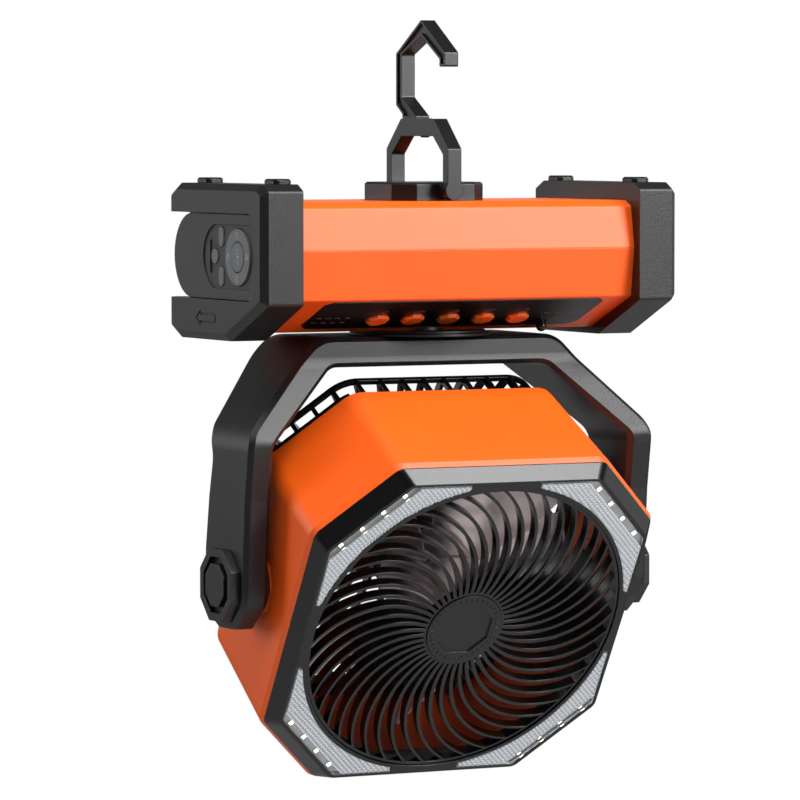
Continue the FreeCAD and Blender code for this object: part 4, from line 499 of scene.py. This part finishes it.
# The panel's printed signs
# Small signs printed in one russet ink, one at each of the five buttons: a lamp, a sun, a fan, a
# swing arrow and a clock, with short dashes at both ends of the panel.
PANEL_FOOT = Vector((0, 0.2, -139.9)) * MM
PANEL_TURN = math.radians(157.95)
PANEL_FACE = 0.42
SIGN_ROW = 27.0
SIGN_SIZE = 2.0
SIGN_PITCH = 18.7
SIGN_ROW_X = 2.2
SIGN_CURVE = 1.7
PRINT_LINE = 0.16
on_panel = Matrix.Translation(PANEL_FOOT) @ Matrix.Rotation(PANEL_TURN, 4, "X") @ Matrix.Scale(MM, 4)
# Dull russet ink, which stands out only faintly from the black plate.
panel_ink = moulded("panel_ink_russet", "#7A3A2A", "#6A3023",
                    roughness=0.5, grain_mm=0.5, grain_depth_mm=0.002, edge_mm=0.05, ior=1.5)


def circle(radius, start=0.0, end=360.0, steps=24, x=0.0, y=0.0):
    """Points along an arc."""
    angles = [math.radians(start + (end - start) * i / steps) for i in range(steps + 1)]
    return [(x + radius * math.cos(a), y + radius * math.sin(a)) for a in angles]


def rays(inner, outer, count=8):
    """Short lines that point away from the middle."""
    angles = [2 * math.pi * i / count for i in range(count)]
    return [[(r * math.cos(a), r * math.sin(a)) for r in (inner, outer)] for a in angles]


def dash(x, y, length):
    """A short level line with its middle at x and y."""
    return [(x - length / 2, y), (x + length / 2, y)]


def petals(size):
    """Three blades of a fan, each a loop from the middle."""
    loops = []
    for turn in (90.0, 210.0, 330.0):
        a = math.radians(turn)
        half = size * 0.5
        loops.append(circle(half, turn - 180, turn + 180, 16, half * math.cos(a), half * math.sin(a)))
    return loops


def printed(name, lines, place, ink, body):
    """Printed sign: thin lines drawn as one curve and made a mesh."""
    drawing = bpy.data.curves.new(name, "CURVE")
    drawing.dimensions = "3D"
    drawing.bevel_depth = PRINT_LINE
    drawing.bevel_resolution = 1
    for line in lines:
        stroke = drawing.splines.new("POLY")
        stroke.points.add(len(line) - 1)
        for spot, (x, y) in zip(stroke.points, line):
            spot.co = (x, y, 0, 1)
    shape = bpy.data.objects.new(name, drawing)
    bpy.context.scene.collection.objects.link(shape)
    bpy.context.view_layer.update()
    mesh = bpy.data.meshes.new_from_object(shape.evaluated_get(bpy.context.evaluated_depsgraph_get()))
    bpy.data.objects.remove(shape)
    piece = bpy.data.objects.new(name, mesh)
    bpy.context.scene.collection.objects.link(piece)
    mesh.transform(place)
    mesh.materials.clear()
    mesh.materials.append(ink)
    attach(piece, body)


lamp_sign = [circle(1.2, -50, 230, 20, 0, 0.5), dash(0, -0.9, 1.6), dash(0, -1.6, 1.2)]
sun_sign = [circle(0.9)] + rays(1.4, SIGN_SIZE)
arrow_head = [(2.1, 1.0), (1.5, 0.9), (1.3, 1.6)]
swing_sign = [circle(SIGN_CURVE, 30, 150), [(-x, y) for x, y in arrow_head], arrow_head]
clock_sign = [circle(SIGN_CURVE), [(0, 1.1), (0, 0), (0.8, 0)]]
signs = (lamp_sign, sun_sign, petals(SIGN_CURVE), swing_sign, clock_sign)
for number, sign in enumerate(signs):
    spot = Matrix.Translation((SIGN_ROW_X + (number - 2) * SIGN_PITCH, SIGN_ROW, PANEL_FACE))
    printed("panel_sign_%d" % (number + 1), sign, on_panel @ spot, panel_ink, "base")
left_marks = [dash(x, y, 2.6) for x in (-67, -62, -57, -52) for y in (14.0, 20.0)]
right_marks = [dash(x, 22.0, 3.0) for x in (54, 60, 66)] + [dash(x, 15.0, 4.0) for x in (62, 69)]
dashes_place = on_panel @ Matrix.Translation((0, 0, PANEL_FACE))
printed("panel_dashes", left_marks + right_marks, dashes_place, panel_ink, "base")

# The remote's printed signs
# Signs printed in pale ink on the remote's keys, which look to the left: a sun, a moon, a fan and a
# clock round the ring key, and OFF across the middle key.
REMOTE_RING_SPOT = Vector((-109.02, -18.6, -103.6))
REMOTE_OFF_FACE = -109.12
REMOTE_SIGN_PLACE = 10.2
REMOTE_SIGN_SIZE = 1.5
LETTER_HEIGHT = 2.4
LETTER_BAR = 1.3
face_left = Matrix(((0, 0, -1, 0), (-1, 0, 0, 0), (0, 1, 0, 0), (0, 0, 0, 1)))
# Dull pale grey ink, plain to read on the grey keys.
key_ink = moulded("remote_ink_grey", "#A9B2BC", "#9EA8B2",
                  roughness=0.5, grain_mm=0.5, grain_depth_mm=0.002, edge_mm=0.05, ior=1.5)


def on_remote(x, y, z):
    """From a sign drawn flat in millimetres to a key that looks to the left."""
    return Matrix.Scale(MM, 4) @ Matrix.Translation((x, y, z)) @ face_left


def letter_f(x):
    """The strokes of a capital F whose stem stands at x."""
    return [[(x, 0), (x, LETTER_HEIGHT), (x + 1.8, LETTER_HEIGHT)], [(x, LETTER_BAR), (x + 1.5, LETTER_BAR)]]


ring_x, ring_y, ring_z = REMOTE_RING_SPOT
small_sun = [circle(0.8)] + rays(1.2, 1.8)
moon = [circle(REMOTE_SIGN_SIZE, 60, 300, 20), circle(1.35, 110, 250, 14, 0.9, 0.0)]
small_clock = [circle(REMOTE_SIGN_SIZE), [(0, 1.0), (0, 0), (0.7, 0)]]
ring_signs = (("remote_sun", small_sun, 0, REMOTE_SIGN_PLACE),
              ("remote_moon", moon, 0, -REMOTE_SIGN_PLACE),
              ("remote_fan", petals(REMOTE_SIGN_SIZE), -REMOTE_SIGN_PLACE, 0),
              ("remote_clock", small_clock, REMOTE_SIGN_PLACE, 0))
for name, sign, across, up in ring_signs:
    printed(name, sign, on_remote(ring_x, ring_y + across, ring_z + up), key_ink, "remote_ring")
letter_o = [(-3.6, 0), (-3.6, LETTER_HEIGHT), (-1.4, LETTER_HEIGHT), (-1.4, 0), (-3.6, 0)]
letters = [letter_o] + letter_f(-0.6) + letter_f(2.0)
off_turn = Matrix.Rotation(math.radians(-90), 4, "Z") @ Matrix.Translation((0, -LETTER_HEIGHT / 2, 0))
off_place = on_remote(REMOTE_OFF_FACE, ring_y, ring_z) @ off_turn
printed("remote_off_word", letters, off_place, key_ink, "remote_off")

# The hub's raised ticks
# A ring of small ticks stands on the hub's disc, round its sunken octagon, moulded with the disc in
# the guard's glossy black ABS.
HUB_TICKS = 36
TICK_SIZE = (0.7, 0.35, 1.7)
TICK_RIM = 0.1
TICK_RADIUS = 16.9
HUB_FACE = -43.85
bpy.ops.mesh.primitive_cube_add(size=1.0)
tick = bpy.context.object
tick.data.transform(Matrix.Diagonal((*TICK_SIZE, 1)))
select_faces(tick, lambda face: face.normal.y < -NEARLY)
in_edit(bpy.ops.mesh.inset, thickness=TICK_RIM)
tick.data.materials.append(rib_black)
for number in range(HUB_TICKS):
    turn = Matrix.Rotation(2 * math.pi * number / HUB_TICKS, 4, "Y")
    spot = Matrix.Translation((0, HUB_FACE, TICK_RADIUS))
    copy_of(tick, "hub_tick_%d" % (number + 1), on_head @ Matrix.Scale(MM, 4) @ turn @ spot, "head")
bpy.data.objects.remove(tick)
